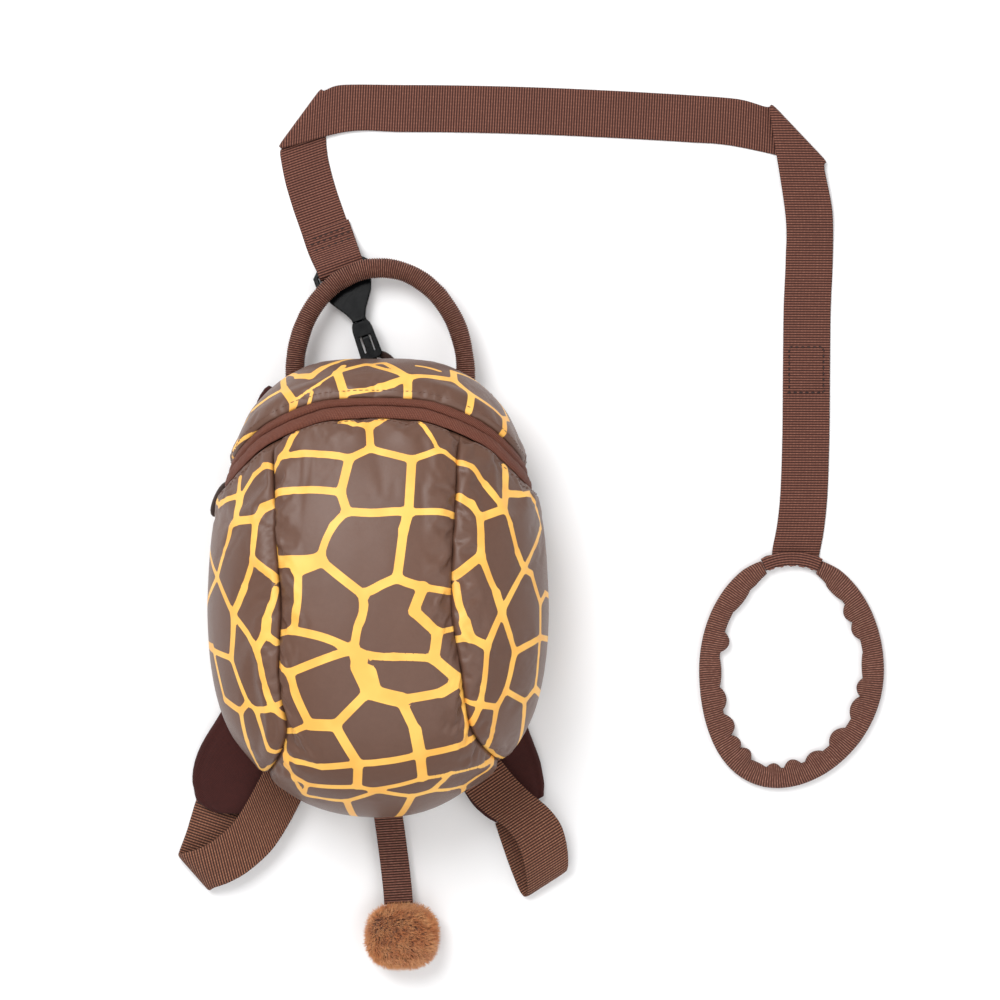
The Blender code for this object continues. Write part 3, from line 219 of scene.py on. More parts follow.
# The print. The lines' corners were read from the photograph and worked out from there as
# thousandths of reach times cosine and sine. Lines join them, width in tenths of a millimetre
PRINT = {
    "centre": (
        (
            (-10, 392), (-71, 408), (25, 418), (-6, 336), (-47, 307), (75, 303), (-205, 348),
            (-167, 396), (-231, 327), (-60, 230), (-236, 280), (-47, 190), (135, 336), (96, 403),
            (187, 331), (66, 191), (190, 220), (-73, 166), (-108, 115), (-248, 136), (-254, 181),
            (-174, 111), (-15, 36), (44, 68), (56, 156), (113, 65), (210, 60), (92, 11), (147, -37),
            (217, -32), (124, -86), (34, -62), (-26, -48), (-14, 18), (-195, -35), (-260, -50),
            (-187, -128), (-235, -119), (-137, -236), (-76, -221), (-217, -291), (-6, -127),
            (-23, -78), (-34, -331), (-124, -360), (-240, -380), (-231, -325), (-42, -428),
            (-185, -460), (-252, -423), (10, -449), (-80, -523), (-212, -541), (-79, -784), (51, -152),
            (-4, -86), (3, -123), (145, -160), (199, -148), (88, -237), (105, -313), (234, -324),
            (233, -259), (278, -331), (121, -407), (-10, -443), (199, -420), (315, -454), (405, -487),
            (155, -482), (100, -493), (272, -541), (10, -450), (60, -818), (317, -683),
        ),
        (
            (0, 1, 45), (0, 2, 45), (0, 3, 50), (4, 3, 50), (3, 5, 50), (4, 6, 50), (6, 7, 45),
            (6, 8, 30), (4, 9, 60), (9, 10, 50), (9, 11, 60), (5, 12, 45), (12, 13, 30), (12, 14, 35),
            (5, 15, 60), (11, 15, 55), (15, 16, 45), (11, 17, 50), (17, 18, 50), (18, 19, 80),
            (19, 20, 30), (18, 21, 100), (18, 22, 60), (22, 23, 60), (23, 24, 60), (24, 15, 65),
            (23, 25, 60), (25, 26, 45), (25, 27, 70), (27, 28, 70), (28, 29, 35), (28, 30, 70),
            (30, 31, 50), (31, 32, 50), (22, 33, 55), (33, 32, 55), (32, 34, 55), (34, 21, 55),
            (34, 35, 45), (32, 36, 55), (36, 37, 40), (36, 38, 60), (38, 39, 80), (38, 40, 40),
            (39, 41, 60), (41, 42, 90), (42, 32, 70), (39, 43, 65), (43, 44, 50), (44, 45, 40),
            (45, 46, 30), (43, 47, 60), (47, 48, 40), (48, 49, 50), (49, 45, 30), (47, 50, 40),
            (50, 51, 40), (51, 52, 40), (51, 53, 50), (52, 48, 30), (45, 52, 40), (41, 54, 100),
            (32, 55, 50), (55, 56, 90), (54, 57, 60), (57, 58, 70), (58, 30, 70), (54, 59, 65),
            (59, 60, 80), (43, 60, 50), (60, 61, 50), (61, 62, 50), (62, 58, 30), (61, 63, 40),
            (60, 64, 65), (64, 65, 35), (65, 50, 40), (64, 66, 30), (66, 67, 30), (67, 68, 40),
            (66, 69, 45), (69, 70, 40), (69, 71, 35), (70, 72, 40), (72, 50, 40), (70, 73, 50),
            (71, 68, 40), (71, 74, 40),
        ),
    ),
    "left": (
        (
            (-398, 391), (-398, 338), (-558, 375), (-379, 334), (-319, 360), (-276, 359), (-233, 338),
            (-403, 267), (-303, 243), (-275, 263), (-238, 264), (-339, 154), (-436, 265), (-555, 124),
            (-262, 95), (-393, 81), (-453, -3), (-464, -141), (-321, -94), (-703, 264), (-825, -25),
            (-818, -142), (-296, -50), (-295, -16), (-267, 68), (-252, -71), (-248, -228),
            (-367, -252), (-619, -129), (-512, -290), (-406, -290), (-327, -261), (-218, -208),
            (-211, -250), (-291, -368), (-252, -371), (-399, -388), (-386, -524), (-285, -435),
        ),
        (
            (0, 1, 40), (1, 2, 40), (3, 4, 35), (4, 5, 40), (5, 6, 45), (1, 7, 60), (3, 7, 40),
            (7, 8, 55), (8, 9, 50), (9, 10, 65), (8, 11, 50), (7, 12, 50), (12, 13, 40), (11, 14, 60),
            (11, 15, 45), (15, 16, 60), (16, 13, 40), (16, 17, 55), (16, 18, 45), (13, 19, 35),
            (13, 20, 40), (20, 21, 40), (17, 21, 40), (18, 22, 60), (22, 23, 70), (23, 24, 50),
            (22, 25, 45), (18, 26, 45), (17, 27, 35), (21, 28, 40), (28, 29, 35), (29, 30, 50),
            (30, 27, 45), (27, 31, 35), (31, 26, 45), (26, 32, 35), (26, 33, 40), (31, 34, 40),
            (34, 35, 40), (30, 36, 40), (36, 37, 40), (37, 38, 40),
        ),
    ),
    "right": (
        (
            (183, 330), (220, 329), (274, 315), (353, 284), (362, 330), (363, 402), (514, 390),
            (640, 332), (259, 236), (229, 257), (189, 257), (281, 154), (387, 256), (441, 189),
            (491, 146), (610, 303), (205, 97), (359, 62), (382, 10), (437, -115), (307, -85),
            (545, 136), (616, 35), (676, 74), (612, -91), (382, -218), (761, -127), (601, -126),
            (576, -274), (252, -55), (209, -59), (242, -19), (213, 75), (271, -223), (499, -291),
            (344, -255), (223, -205), (249, -276), (675, -345), (552, -622), (340, -337), (325, -393),
        ),
        (
            (0, 1, 40), (1, 2, 40), (2, 3, 55), (3, 4, 65), (4, 5, 60), (4, 6, 50), (6, 7, 40),
            (3, 8, 55), (8, 9, 55), (9, 10, 55), (8, 11, 55), (3, 12, 35), (12, 13, 40), (13, 14, 55),
            (7, 15, 40), (15, 14, 40), (11, 16, 60), (11, 17, 50), (17, 18, 70), (18, 14, 45),
            (18, 19, 50), (18, 20, 50), (14, 21, 50), (21, 22, 45), (22, 23, 40), (22, 24, 40),
            (19, 24, 45), (19, 25, 45), (24, 26, 40), (24, 27, 40), (27, 28, 40), (20, 29, 60),
            (29, 30, 50), (29, 31, 80), (31, 32, 50), (20, 33, 45), (25, 34, 40), (25, 35, 45),
            (33, 35, 45), (33, 36, 35), (33, 37, 45), (28, 38, 50), (28, 34, 45), (34, 39, 45),
            (35, 40, 45), (40, 41, 45), (41, 39, 40),
        ),
    ),
    "top": (
        (
            (-236, 574), (-376, 599), (-473, 571), (-537, 507), (-309, 774), (-206, 620), (-163, 592),
            (-138, 638), (-112, 675), (-194, 500), (-205, 474), (-133, 534), (-96, 589), (-85, 635),
            (-72, 508), (-75, 487), (-27, 648), (59, 580), (10, 529), (58, 549), (-148, 512),
            (-158, 480), (-498, 550), (-266, 459), (17, 668), (77, 562), (41, 539), (74, 495),
            (198, 592), (206, 653), (236, 549), (228, 490), (359, 550), (354, 494), (310, 705),
            (379, 672), (403, 595), (103, 640), (164, 622),
        ),
        (
            (0, 1, 38), (1, 2, 35), (2, 3, 38), (0, 4, 44), (4, 5, 35), (5, 6, 60), (6, 7, 60),
            (7, 8, 50), (0, 9, 55), (9, 10, 40), (9, 11, 18), (11, 12, 18), (12, 13, 40), (12, 14, 60),
            (14, 15, 45), (12, 16, 40), (16, 17, 35), (14, 18, 35), (18, 19, 50), (20, 21, 25),
            (22, 23, 25), (22, 2, 30), (24, 16, 50), (24, 25, 45), (25, 26, 60), (26, 18, 55),
            (25, 27, 60), (25, 28, 45), (28, 29, 50), (28, 30, 45), (30, 31, 50), (30, 32, 40),
            (32, 33, 50), (29, 34, 35), (34, 35, 35), (35, 36, 35), (36, 32, 40), (37, 38, 25),
        ),
    ),
}


def linear(red, green, blue):
    """A colour seen on screen, 0 to 255, as light."""
    return tuple((c / 255 / 12.92) if c / 255 <= 0.04045 else ((c / 255 + 0.055) / 1.055) ** 2.4
                 for c in (red, green, blue))


# Shapes


def smooth(rows, count):
    """Points of a smooth curve through the rows, evenly spread over them."""
    rows = np.array(rows, dtype=float)
    padded = np.concatenate([2 * rows[:1] - rows[1:2], rows, 2 * rows[-1:] - rows[-2:-1]])
    steps = np.linspace(0, len(rows) - 1, count)
    index = np.minimum(steps.astype(int), len(rows) - 2)
    f = (steps - index).reshape((-1,) + (1,) * (rows.ndim - 1))
    a, b, c, d = (padded[index + k] for k in range(4))
    return 0.5 * (2 * b + (c - a) * f + (2 * a - 5 * b + 4 * c - d) * f * f
                  + (3 * b - a - 3 * c + d) * f ** 3)


def spread(points, count, measure=None):
    """The same line with its points evenly spaced, measured on another line if one is given."""
    measure = points if measure is None else measure
    steps = np.linalg.norm(np.diff(measure, axis=0), axis=1)
    along = np.concatenate([[0], np.cumsum(steps)])
    places = np.linspace(0, along[-1], count)
    return np.stack([np.interp(places, along, column) for column in points.T], axis=1)


def outline_table():
    half = smooth(OUTLINE, 161) * (BODY_WIDTH / 2, BODY_LENGTH / 2)
    half[:, 1] -= SUMMIT_Y
    half[:, 0] = np.maximum(half[:, 0], 0)
    return np.arctan2(half[:, 1], half[:, 0])[::-1], np.hypot(half[:, 0], half[:, 1])[::-1]


ANGLES, RADII = outline_table()


def shell(flat):
    """Points of the body's plain surface from reach times cosine and sine."""
    flat = np.asarray(flat, dtype=float)
    reach = np.hypot(flat[..., 0], flat[..., 1])
    angle = np.arctan2(flat[..., 1], flat[..., 0])
    radius = np.interp(np.arcsin(np.sin(angle)), ANGLES, RADII)
    power = 2 / (SQUARENESS - SQUARENESS_TILT * np.sin(angle))
    climb = np.clip(reach / REACH_WIDEST, 0, 1) * math.pi / 2
    tuck = np.clip((reach - REACH_WIDEST) / (1 - REACH_WIDEST), 0, 1) * UNDERCUT
    inset = RIM_INSET * (1 - np.cos(tuck)) / (1 - math.cos(UNDERCUT))
    out = radius * np.sin(climb) ** power - inset
    upper = EQUATOR_HEIGHT + (BODY_DEPTH - EQUATOR_HEIGHT) * np.maximum(np.cos(climb), 0) ** power
    lower = EQUATOR_HEIGHT + (RIM_HEIGHT - EQUATOR_HEIGHT) * np.sin(tuck) / math.sin(UNDERCUT)
    height = np.where(reach <= REACH_WIDEST, upper, lower)
    return np.stack([out * np.cos(angle), SUMMIT_Y + out * np.sin(angle), height], axis=-1)


def shell_out(flat):
    """The outward directions there."""
    step = 0.004
    across = shell(flat + (step, 0)) - shell(flat - (step, 0))
    along = shell(flat + (0, step)) - shell(flat - (0, step))
    normal = np.cross(across, along)
    return normal / np.linalg.norm(normal, axis=-1, keepdims=True)


def zip_line(which, first, last, count):
    """Points of a zip line between two shares of it, evenly spaced on the body."""
    rows = np.array(ZIP)[:, 2 * which:2 * which + 2]
    fine = smooth(rows, 8 * (len(rows) - 1) + 1)
    share = np.linspace(first, last, 600)
    place = np.abs(share) * (len(fine) - 1)
    turn = np.interp(place, range(len(fine)), fine[:, 0])
    reach = np.interp(place, range(len(fine)), fine[:, 1])
    angle = np.radians(90 - np.copysign(turn, share))
    flat = np.stack([reach * np.cos(angle), reach * np.sin(angle)], axis=1)
    return spread(flat, count, shell(flat))


def seam_line(rows, start, count):
    fine = smooth([tuple(start), *rows], 500)
    return spread(fine, count, shell(fine))


def rim_arc(first, last, count):
    """Points of the back seam between two points on it."""
    begin = math.atan2(first[1], first[0])
    sweep = (math.atan2(last[1], last[0]) - begin + math.pi) % (2 * math.pi) - math.pi
    angles = begin + sweep * np.linspace(0, 1, 600)
    flat = np.stack([np.cos(angles), np.sin(angles)], axis=1)
    return spread(flat, count, shell(flat * 0.999))


def patch(left, right, top, bottom):
    """A grid of flat coordinates between four edges; rows run from the top down."""
    t = np.linspace(0, 1, len(left))[:, None, None]
    s = np.linspace(0, 1, len(top))[None, :, None]
    sides = (1 - s) * left[:, None] + s * right[:, None]
    ends = (1 - t) * top[None] + t * bottom[None]
    corners = ((1 - s) * (1 - t) * top[0] + s * (1 - t) * top[-1]
               + (1 - s) * t * bottom[0] + s * t * bottom[-1])
    return sides + ends - corners


def finer(grid):
    """A grid with a smooth row and column added between each pair."""
    for axis in (0, 1):
        grid = np.moveaxis(grid, axis, 0)
        grid = smooth(grid, 2 * len(grid) - 1)
        grid = np.moveaxis(grid, 0, axis)
    return grid


def edge_distances(points):
    """For each point of a grid, its distance to the left, right, top and bottom edges."""
    across = np.linalg.norm(np.diff(points, axis=1), axis=2)
    along = np.linalg.norm(np.diff(points, axis=0), axis=2)
    left = np.hstack([np.zeros((len(points), 1)), np.cumsum(across, axis=1)])
    top = np.vstack([np.zeros((1, points.shape[1])), np.cumsum(along, axis=0)])
    return left, left[:, -1:] - left, top, top[-1:, :] - top


def faces_of(rows, columns, around=False, offset=0):
    """Quads of a grid; around closes each row on itself."""
    index = np.arange(rows * columns).reshape(rows, columns) + offset
    if around:
        index = np.hstack([index, index[:, :1]])
    return np.stack([index[:-1, :-1], index[:-1, 1:], index[1:, 1:], index[1:, :-1]],
                    axis=-1).reshape(-1, 4)


def add_piece(name, points, faces, material, marks=None, turn_out=False):
    """A named mesh at the origin; marks are values carried by its points."""
    mesh = bpy.data.meshes.new(name)
    mesh.from_pydata(np.asarray(points).reshape(-1, 3).tolist(), [],
                     [list(map(int, face)) for face in faces])
    for key, values in (marks or {}).items():
        values = np.asarray(values, dtype=np.float32)
        if values.ndim > 1:
            layer = mesh.attributes.new(key, "FLOAT_VECTOR", "POINT")
            layer.data.foreach_set("vector", values.reshape(-1))
        else:
            layer = mesh.attributes.new(key, "FLOAT", "POINT")
            layer.data.foreach_set("value", values.reshape(-1))
    if turn_out:
        work = bmesh.new()
        work.from_mesh(mesh)
        bmesh.ops.recalc_face_normals(work, faces=work.faces)
        work.to_mesh(mesh)
        work.free()
    mesh.shade_smooth()
    mesh.materials.append(material)
    piece = bpy.data.objects.new(name, mesh)
    bpy.context.scene.collection.objects.link(piece)
    return piece


def grid_piece(name, grid, material, marks=None):
    """An open sheet from a grid, its faces turned away from the body's middle."""
    rows, columns = grid.shape[:2]
    faces = faces_of(rows, columns)
    first = grid[1:, :-1] - grid[:-1, :-1]
    second = grid[:-1, 1:] - grid[:-1, :-1]
    outward = np.cross(second, first)
    middle = grid[:-1, :-1] - (0, SUMMIT_Y, 0)
    if (outward * middle).sum() < 0:
        faces = faces[:, ::-1]
    return add_piece(name, grid, faces, material, marks)


def add_wall(piece, thickness):
    wall = piece.modifiers.new("wall", "SOLIDIFY")
    wall.thickness = thickness
    wall.offset = -1.0
    return wall


def sweep_piece(name, middles, sides, ups, section, material, marks=None):
    """A closed sweep; the section's points are shares along each side and up vector."""
    count = len(middles)
    section = np.asarray(section)
    if section.ndim == 2:
        section = np.repeat(section[None], count, axis=0)
    points = (middles[:, None] + sides[:, None] * section[..., :1]
              + ups[:, None] * section[..., 1:2])
    ring = section.shape[1]
    faces = list(faces_of(count, ring, around=True))
    faces.append(list(range(ring)))
    faces.append(list(range((count - 1) * ring, count * ring)))
    return add_piece(name, points, faces, material, marks, turn_out=True)


def puffed(grid, pinned, firmness, settings):
    """Lets a panel swell as cloth between its pinned edges and gives its new points."""
    rows, columns = grid.shape[:2]
    sheet = grid_piece("cloth_work", grid, bpy.data.materials["work"])
    pins = sheet.vertex_groups.new(name="pins")
    soft = sheet.vertex_groups.new(name="soft")
    for index, (hold, firm) in enumerate(zip(pinned.reshape(-1), firmness.reshape(-1))):
        if hold > 0:
            pins.add([index], float(hold), "REPLACE")
        soft.add([index], float(firm), "REPLACE")
    cloth = sheet.modifiers.new("cloth", "CLOTH")
    feel = cloth.settings
    feel.quality = 6
    feel.mass = 0.25
    feel.tension_stiffness = 18
    feel.compression_stiffness = 18
    feel.shear_stiffness = 8
    feel.bending_stiffness = 0.4
    feel.use_pressure = True
    feel.uniform_pressure_force = settings.pressure
    feel.vertex_group_mass = "pins"
    feel.vertex_group_shrink = "soft"
    feel.shrink_min = -settings.pucker
    feel.shrink_max = -0.004
    feel.effector_weights.gravity = 0
    cloth.point_cache.frame_start = 1
    cloth.point_cache.frame_end = 20
    scene = bpy.context.scene
    for step in range(1, 21):
        scene.frame_set(step)
    seen = sheet.evaluated_get(bpy.context.evaluated_depsgraph_get())
    moved = np.empty(rows * columns * 3)
    seen.data.vertices.foreach_get("co", moved)
    scene.frame_set(1)
    bpy.data.objects.remove(sheet)
    shift = moved.reshape(rows, columns, 3) - grid
    length = np.linalg.norm(shift, axis=2, keepdims=True)
    most = settings.swell_cap
    return grid + shift * np.where(length > 0, most * np.tanh(length / most), 0) \
        / np.maximum(length, 1e-9)


def print_chart(name):
    """One panel's print: the charted lines, carried on to the rim round the unseen sides."""
    nodes, lines = PRINT[name]
    nodes = [(x / 1000, y / 1000) for x, y in nodes]
    lines = list(lines)
    used = np.bincount([k for line in lines for k in line[:2]], minlength=len(nodes))
    ends = [k for k, node in enumerate(nodes) if used[k] == 1 and math.hypot(*node) > 0.66]
    low, high = np.radians(RIM_SPANS[name])
    count = round((high - low) / 0.3)
    ring = []
    for i in range(count + 1):
        angle = low + (high - low) * i / count + 0.05 * math.sin(5 * i)
        for reach in (0.90 + 0.025 * (-1) ** i, 1.05):
            nodes.append((reach * math.cos(angle), reach * math.sin(angle)))
        ring.append((angle, len(nodes) - 2))
        lines.append((len(nodes) - 2, len(nodes) - 1, 40))
        if i:
            lines.append((ring[-2][1], ring[-1][1], 45))
    for k in ends:
        angle = math.atan2(nodes[k][1], nodes[k][0])
        nearest = min(ring, key=lambda spot: abs(math.remainder(spot[0] - angle, 2 * math.pi)))
        lines.append((k, nearest[1], 40))
    return np.array(nodes), lines


def print_distance(points, name):
    """Millimetres from each point to the edge of the nearest printed line, below 0 inside."""
    nodes, lines = print_chart(name)
    near = np.full(len(points), 99.0)
    merged = near.copy()
    for first, last, width in lines:
        flat = nodes[first] + (nodes[last] - nodes[first]) * np.linspace(0, 1, 9)[:, None]
        line = shell(flat) * 1000
        best = np.full(len(points), 99.0)
        for a, b in zip(line, line[1:]):
            span = b - a
            share = np.clip(((points - a) @ span) / max(span @ span, 1e-9), 0, 1)
            gap = np.linalg.norm(points - a - share[:, None] * span, axis=1)
            best = np.minimum(best, gap)
        best -= width / 26
        blend = np.maximum(JUNCTION - np.abs(merged - best), 0) / JUNCTION
        merged = np.minimum(merged, best) - blend * blend * JUNCTION / 4
    return merged


# Materials


class Net:
    """Adds nodes to a tree and joins them."""

    def __init__(self, tree):
        self.tree = tree

    def add(self, kind, inputs=None, **settings):
        made = self.tree.nodes.new(kind)
        for key, value in settings.items():
            setattr(made, key, value)
        for key, value in (inputs or {}).items():
            if isinstance(value, bpy.types.NodeSocket):
                self.tree.links.new(value, made.inputs[key])
            else:
                made.inputs[key].default_value = value
        return made

    def math(self, operation, first, second=0.0, third=None, clamp=False):
        inputs = {0: first, 1: second}
        if third is not None:
            inputs[2] = third
        return self.add("ShaderNodeMath", inputs, operation=operation, use_clamp=clamp).outputs[0]

    def step(self, value, low, high, bottom=0.0, top=1.0):
        """Runs smoothly from bottom to top as the value goes from low to high."""
        return self.add("ShaderNodeMapRange", {0: value, 1: low, 2: high, 3: bottom, 4: top},
                        interpolation_type="SMOOTHSTEP").outputs[0]

    def mix(self, share, first, second, blend="MIX"):
        made = self.add("ShaderNodeMix", {0: share, 6: first, 7: second}, data_type="RGBA",
                        blend_type=blend)
        return made.outputs[2]

    def noise(self, vector, scale, detail=2.0, roughness=0.5):
        return self.add("ShaderNodeTexNoise", {"Vector": vector, "Scale": scale,
                                               "Detail": detail, "Roughness": roughness}).outputs[0]

    def bump(self, height, strength, distance, normal=None):
        inputs = {"Height": height, "Strength": strength, "Distance": distance}
        if normal is not None:
            inputs["Normal"] = normal
        return self.add("ShaderNodeBump", inputs).outputs[0]

    def group(self, tree, inputs):
        made = self.tree.nodes.new("ShaderNodeGroup")
        made.node_tree = tree
        for key, value in inputs.items():
            if isinstance(value, bpy.types.NodeSocket):
                self.tree.links.new(value, made.inputs[key])
            else:
                made.inputs[key].default_value = value
        return made

    def mark(self, name, output="Vector"):
        """A value carried by the piece's own points."""
        return self.add("ShaderNodeAttribute", attribute_name=name).outputs[output]

    def place(self):
        return self.add("ShaderNodeTexCoord").outputs["Object"]


def effect(name, inputs, outputs, build):
    """A shader node group; build gets a Net and the inputs and gives the outputs."""
    tree = bpy.data.node_groups.new(name, "ShaderNodeTree")
    for key, kind, value in inputs:
        socket = tree.interface.new_socket(key, in_out="INPUT", socket_type=kind)
        if value is not None:
            socket.default_value = value
    for key, kind in outputs:
        tree.interface.new_socket(key, in_out="OUTPUT", socket_type=kind)
    net = Net(tree)
    given = net.add("NodeGroupInput")
    result = net.add("NodeGroupOutput")
    for key, socket in build(net, given.outputs).items():
        tree.links.new(socket, result.inputs[key])
    return tree


NUMBER, VECTOR, COLOUR = "NodeSocketFloat", "NodeSocketVector", "NodeSocketColor"


def build_effects():
    """The effects that several materials share."""

    def ribs(net, given):
        parts = net.add("ShaderNodeSeparateXYZ", {0: given["Run"]})
        along, across = parts.outputs[0], parts.outputs[1]
        wobble = net.math("MULTIPLY", net.noise(given["Run"], 90.0, 1.0), given["Wobble"])
        along = net.math("ADD", along, wobble)
        column = net.math("DIVIDE", across, given["Column pitch"])
        half = net.math("MULTIPLY", net.math("FLOOR", column), given["Stagger"])
        rib = net.math("ADD", net.math("DIVIDE", along, given["Rib pitch"]), half)
        wave = net.math("COSINE", net.math("MULTIPLY", rib, 2 * math.pi))
        rise = net.math("MULTIPLY_ADD", wave, 0.5, 0.5)
        dash = net.math("COSINE", net.math("MULTIPLY", column, 2 * math.pi))
        dash = net.math("MULTIPLY_ADD", dash, -0.5, 0.5)
        fade = net.math("SUBTRACT", 1.0, given["Column share"])
        dash = net.math("ADD", net.math("MULTIPLY", dash, given["Column share"]), fade)
        height = net.math("MULTIPLY", rise, dash)
        return {"Height": height, "Thread": net.step(height, 0.12, 0.62)}

    def weave(net, given):
        parts = net.add("ShaderNodeSeparateXYZ", {0: given["Run"]})
        waves = []
        for output in parts.outputs[:2]:
            turn = net.math("MULTIPLY", net.math("DIVIDE", output, given["Pitch"]), 2 * math.pi)
            waves.append(net.math("SINE", turn))
        return {"Height": net.math("MULTIPLY", waves[0], waves[1])}

    def wear(net, given):
        broad = net.noise(given["Place"], given["Scale"], 3.0, 0.55)
        fine = net.noise(given["Place"], net.math("MULTIPLY", given["Scale"], 14.0), 2.0, 0.6)
        both = net.math("MULTIPLY_ADD", fine, 0.4, net.math("MULTIPLY", broad, 0.6))
        level = net.step(both, 0.32, 0.68, 1.0, 0.0)
        level = net.math("MULTIPLY", level, given["Amount"])
        dark = net.mix(0.6, given["Colour"], (0, 0, 0, 1))
        return {"Colour": net.mix(level, given["Colour"], dark), "Level": level}

    effect("webbing_ribs",
           [("Run", VECTOR, None), ("Rib pitch", NUMBER, 0.0013), ("Column pitch", NUMBER, 0.0016),
            ("Column share", NUMBER, 0.5), ("Stagger", NUMBER, 0.0), ("Wobble", NUMBER, 0.0)],
           [("Height", NUMBER), ("Thread", NUMBER)], ribs)
    effect("fine_weave", [("Run", VECTOR, None), ("Pitch", NUMBER, 0.0006)],
           [("Height", NUMBER)], weave)
    effect("uneven_colour",
           [("Colour", COLOUR, None), ("Place", VECTOR, None), ("Scale", NUMBER, 40.0),
            ("Amount", NUMBER, 0.3)], [("Colour", COLOUR), ("Level", NUMBER)], wear)


def new_material(name):
    material = bpy.data.materials.new(name)
    material.use_nodes = True
    net = Net(material.node_tree)
    return material, net, material.node_tree.nodes["Principled BSDF"]


def effect_tree(name):
    return bpy.data.node_groups[name]


def solid(colour):
    return (*colour, 1.0)


def printed_cloth(colours):
    """The shell: satin coated cloth with yellow lines printed over brown."""
    material, net, shader = new_material("printed_shell_cloth")
    place = net.place()
    run = net.mark("run")
    gap = net.math("ADD", net.mark("print_gap", "Fac"),
                   net.math("MULTIPLY_ADD", net.noise(place, 420.0, 2.0), 0.12, -0.06))
    inside = net.step(gap, -0.14, 0.14, 1.0, 0.0)
    brown = net.group(effect_tree("uneven_colour"), {
        "Colour": solid(colours.patch), "Place": place, "Scale": 26.0, "Amount": 0.16})
    rim = net.step(gap, 0.1, 2.6, 0.16, 0.0)
    brown = net.mix(rim, brown.outputs["Colour"], solid(colours.patch_edge))
    warm = net.mix(net.step(net.noise(place, 55.0, 2.0), 0.35, 0.65), solid(colours.line),
                   solid(colours.line_deep))
    colour = net.mix(inside, brown, warm)
    net.tree.links.new(colour, shader.inputs["Base Color"])
    grain = net.noise(place, 900.0, 2.0)
    rough = net.math("MULTIPLY_ADD", grain, 0.10, 0.36)
    net.tree.links.new(net.math("MULTIPLY_ADD", inside, 0.06, rough), shader.inputs["Roughness"])
    weave = net.group(effect_tree("fine_weave"), {"Run": run, "Pitch": 0.00055})
    fine = net.bump(weave.outputs["Height"], 0.16, 0.00012)
    crush = net.bump(net.noise(place, 95.0, 3.0, 0.6), 0.14, 0.0009, fine)
    drawn = net.add("ShaderNodeVectorMath", {0: run, 1: (60.0, 14.0, 1.0)},
                    operation="MULTIPLY").outputs[0]
    crush = net.bump(net.noise(drawn, 1.0, 1.0), 0.16, 0.0030, crush)
    net.tree.links.new(net.bump(net.noise(place, 24.0, 2.0, 0.5), 0.22, 0.0030, crush),
                       shader.inputs["Normal"])
    shader.inputs["Specular IOR Level"].default_value = 0.42
    return material


def webbing(name, colour, light, dark, rib, column, share, stagger=0.0, depth=0.0006, wobble=0.0):
    """Ribbed webbing with threads that catch the light: painted highlights on the rib tops and painted
    shade in the gaps between the ribs.
    """
    material, net, shader = new_material(name)
    place = net.place()
    run = net.mark("run")
    ribs = net.group(effect_tree("webbing_ribs"), {
        "Run": run, "Rib pitch": rib, "Column pitch": column, "Column share": share,
        "Stagger": stagger, "Wobble": wobble})
    # The gaps between the ribs take the dark colour: painted shade.
    base = net.mix(ribs.outputs["Thread"], solid(dark), solid(colour))
    # Painted highlight: the rib tops turn to the light colour in random spots.
    rib_glint = net.math("MULTIPLY", net.step(ribs.outputs["Height"], 0.55, 1.0, 0.0, 0.55),
                     net.step(net.noise(place, 700.0, 1.0), 0.30, 0.70))
    base = net.mix(rib_glint, base, solid(light))
    worn = net.group(effect_tree("uneven_colour"), {
        "Colour": base, "Place": place, "Scale": 60.0, "Amount": 0.16})
    net.tree.links.new(worn.outputs["Colour"], shader.inputs["Base Color"])
    net.tree.links.new(net.math("MULTIPLY_ADD", ribs.outputs["Thread"], -0.14, 0.78),
                       shader.inputs["Roughness"])
    fuzz = net.bump(net.noise(place, 1500.0, 2.0), 0.25, 0.00020)
    net.tree.links.new(net.bump(ribs.outputs["Height"], 0.85, depth, fuzz),
                       shader.inputs["Normal"])
    shader.inputs["Specular IOR Level"].default_value = 0.3
    return material


def plain_cloth(name, colour, dark, pitch, roughness=0.85):
    """Soft woven cloth for the pads and the back, with painted shade in the weave's hollows."""
    material, net, shader = new_material(name)
    place = net.place()
    weave = net.group(effect_tree("fine_weave"), {"Run": net.mark("run"), "Pitch": pitch})
    # The weave's low places take the dark colour: painted shade in its hollows.
    lifted = net.step(weave.outputs["Height"], -0.6, 0.6)
    base = net.mix(lifted, solid(dark), solid(colour))
    worn = net.group(effect_tree("uneven_colour"), {
        "Colour": base, "Place": place, "Scale": 34.0, "Amount": 0.35})
    net.tree.links.new(worn.outputs["Colour"], shader.inputs["Base Color"])
    shader.inputs["Roughness"].default_value = roughness
    folds = net.bump(net.noise(place, 55.0, 3.0, 0.55), 0.35, 0.0016)
    net.tree.links.new(net.bump(weave.outputs["Height"], 0.5, 0.00025, folds),
                       shader.inputs["Normal"])
    shader.inputs["Sheen Weight"].default_value = 0.06
    shader.inputs["Specular IOR Level"].default_value = 0.25
    return material


def moulded(name, colour, roughness, metallic=0.0, speck=900.0, shine=0.5):
    """Moulded plastic or cast metal with a fine grain and rubbed places."""
    material, net, shader = new_material(name)
    place = net.place()
    worn = net.group(effect_tree("uneven_colour"), {
        "Colour": solid(colour), "Place": place, "Scale": 90.0, "Amount": 0.25})
    net.tree.links.new(worn.outputs["Colour"], shader.inputs["Base Color"])
    net.tree.links.new(net.math("MULTIPLY_ADD", net.noise(place, 240.0, 3.0), 0.22,
                                roughness - 0.11), shader.inputs["Roughness"])
    net.tree.links.new(net.bump(net.noise(place, speck, 2.0), 0.12, 0.00015),
                       shader.inputs["Normal"])
    shader.inputs["Metallic"].default_value = metallic
    shader.inputs["Specular IOR Level"].default_value = shine
    return material


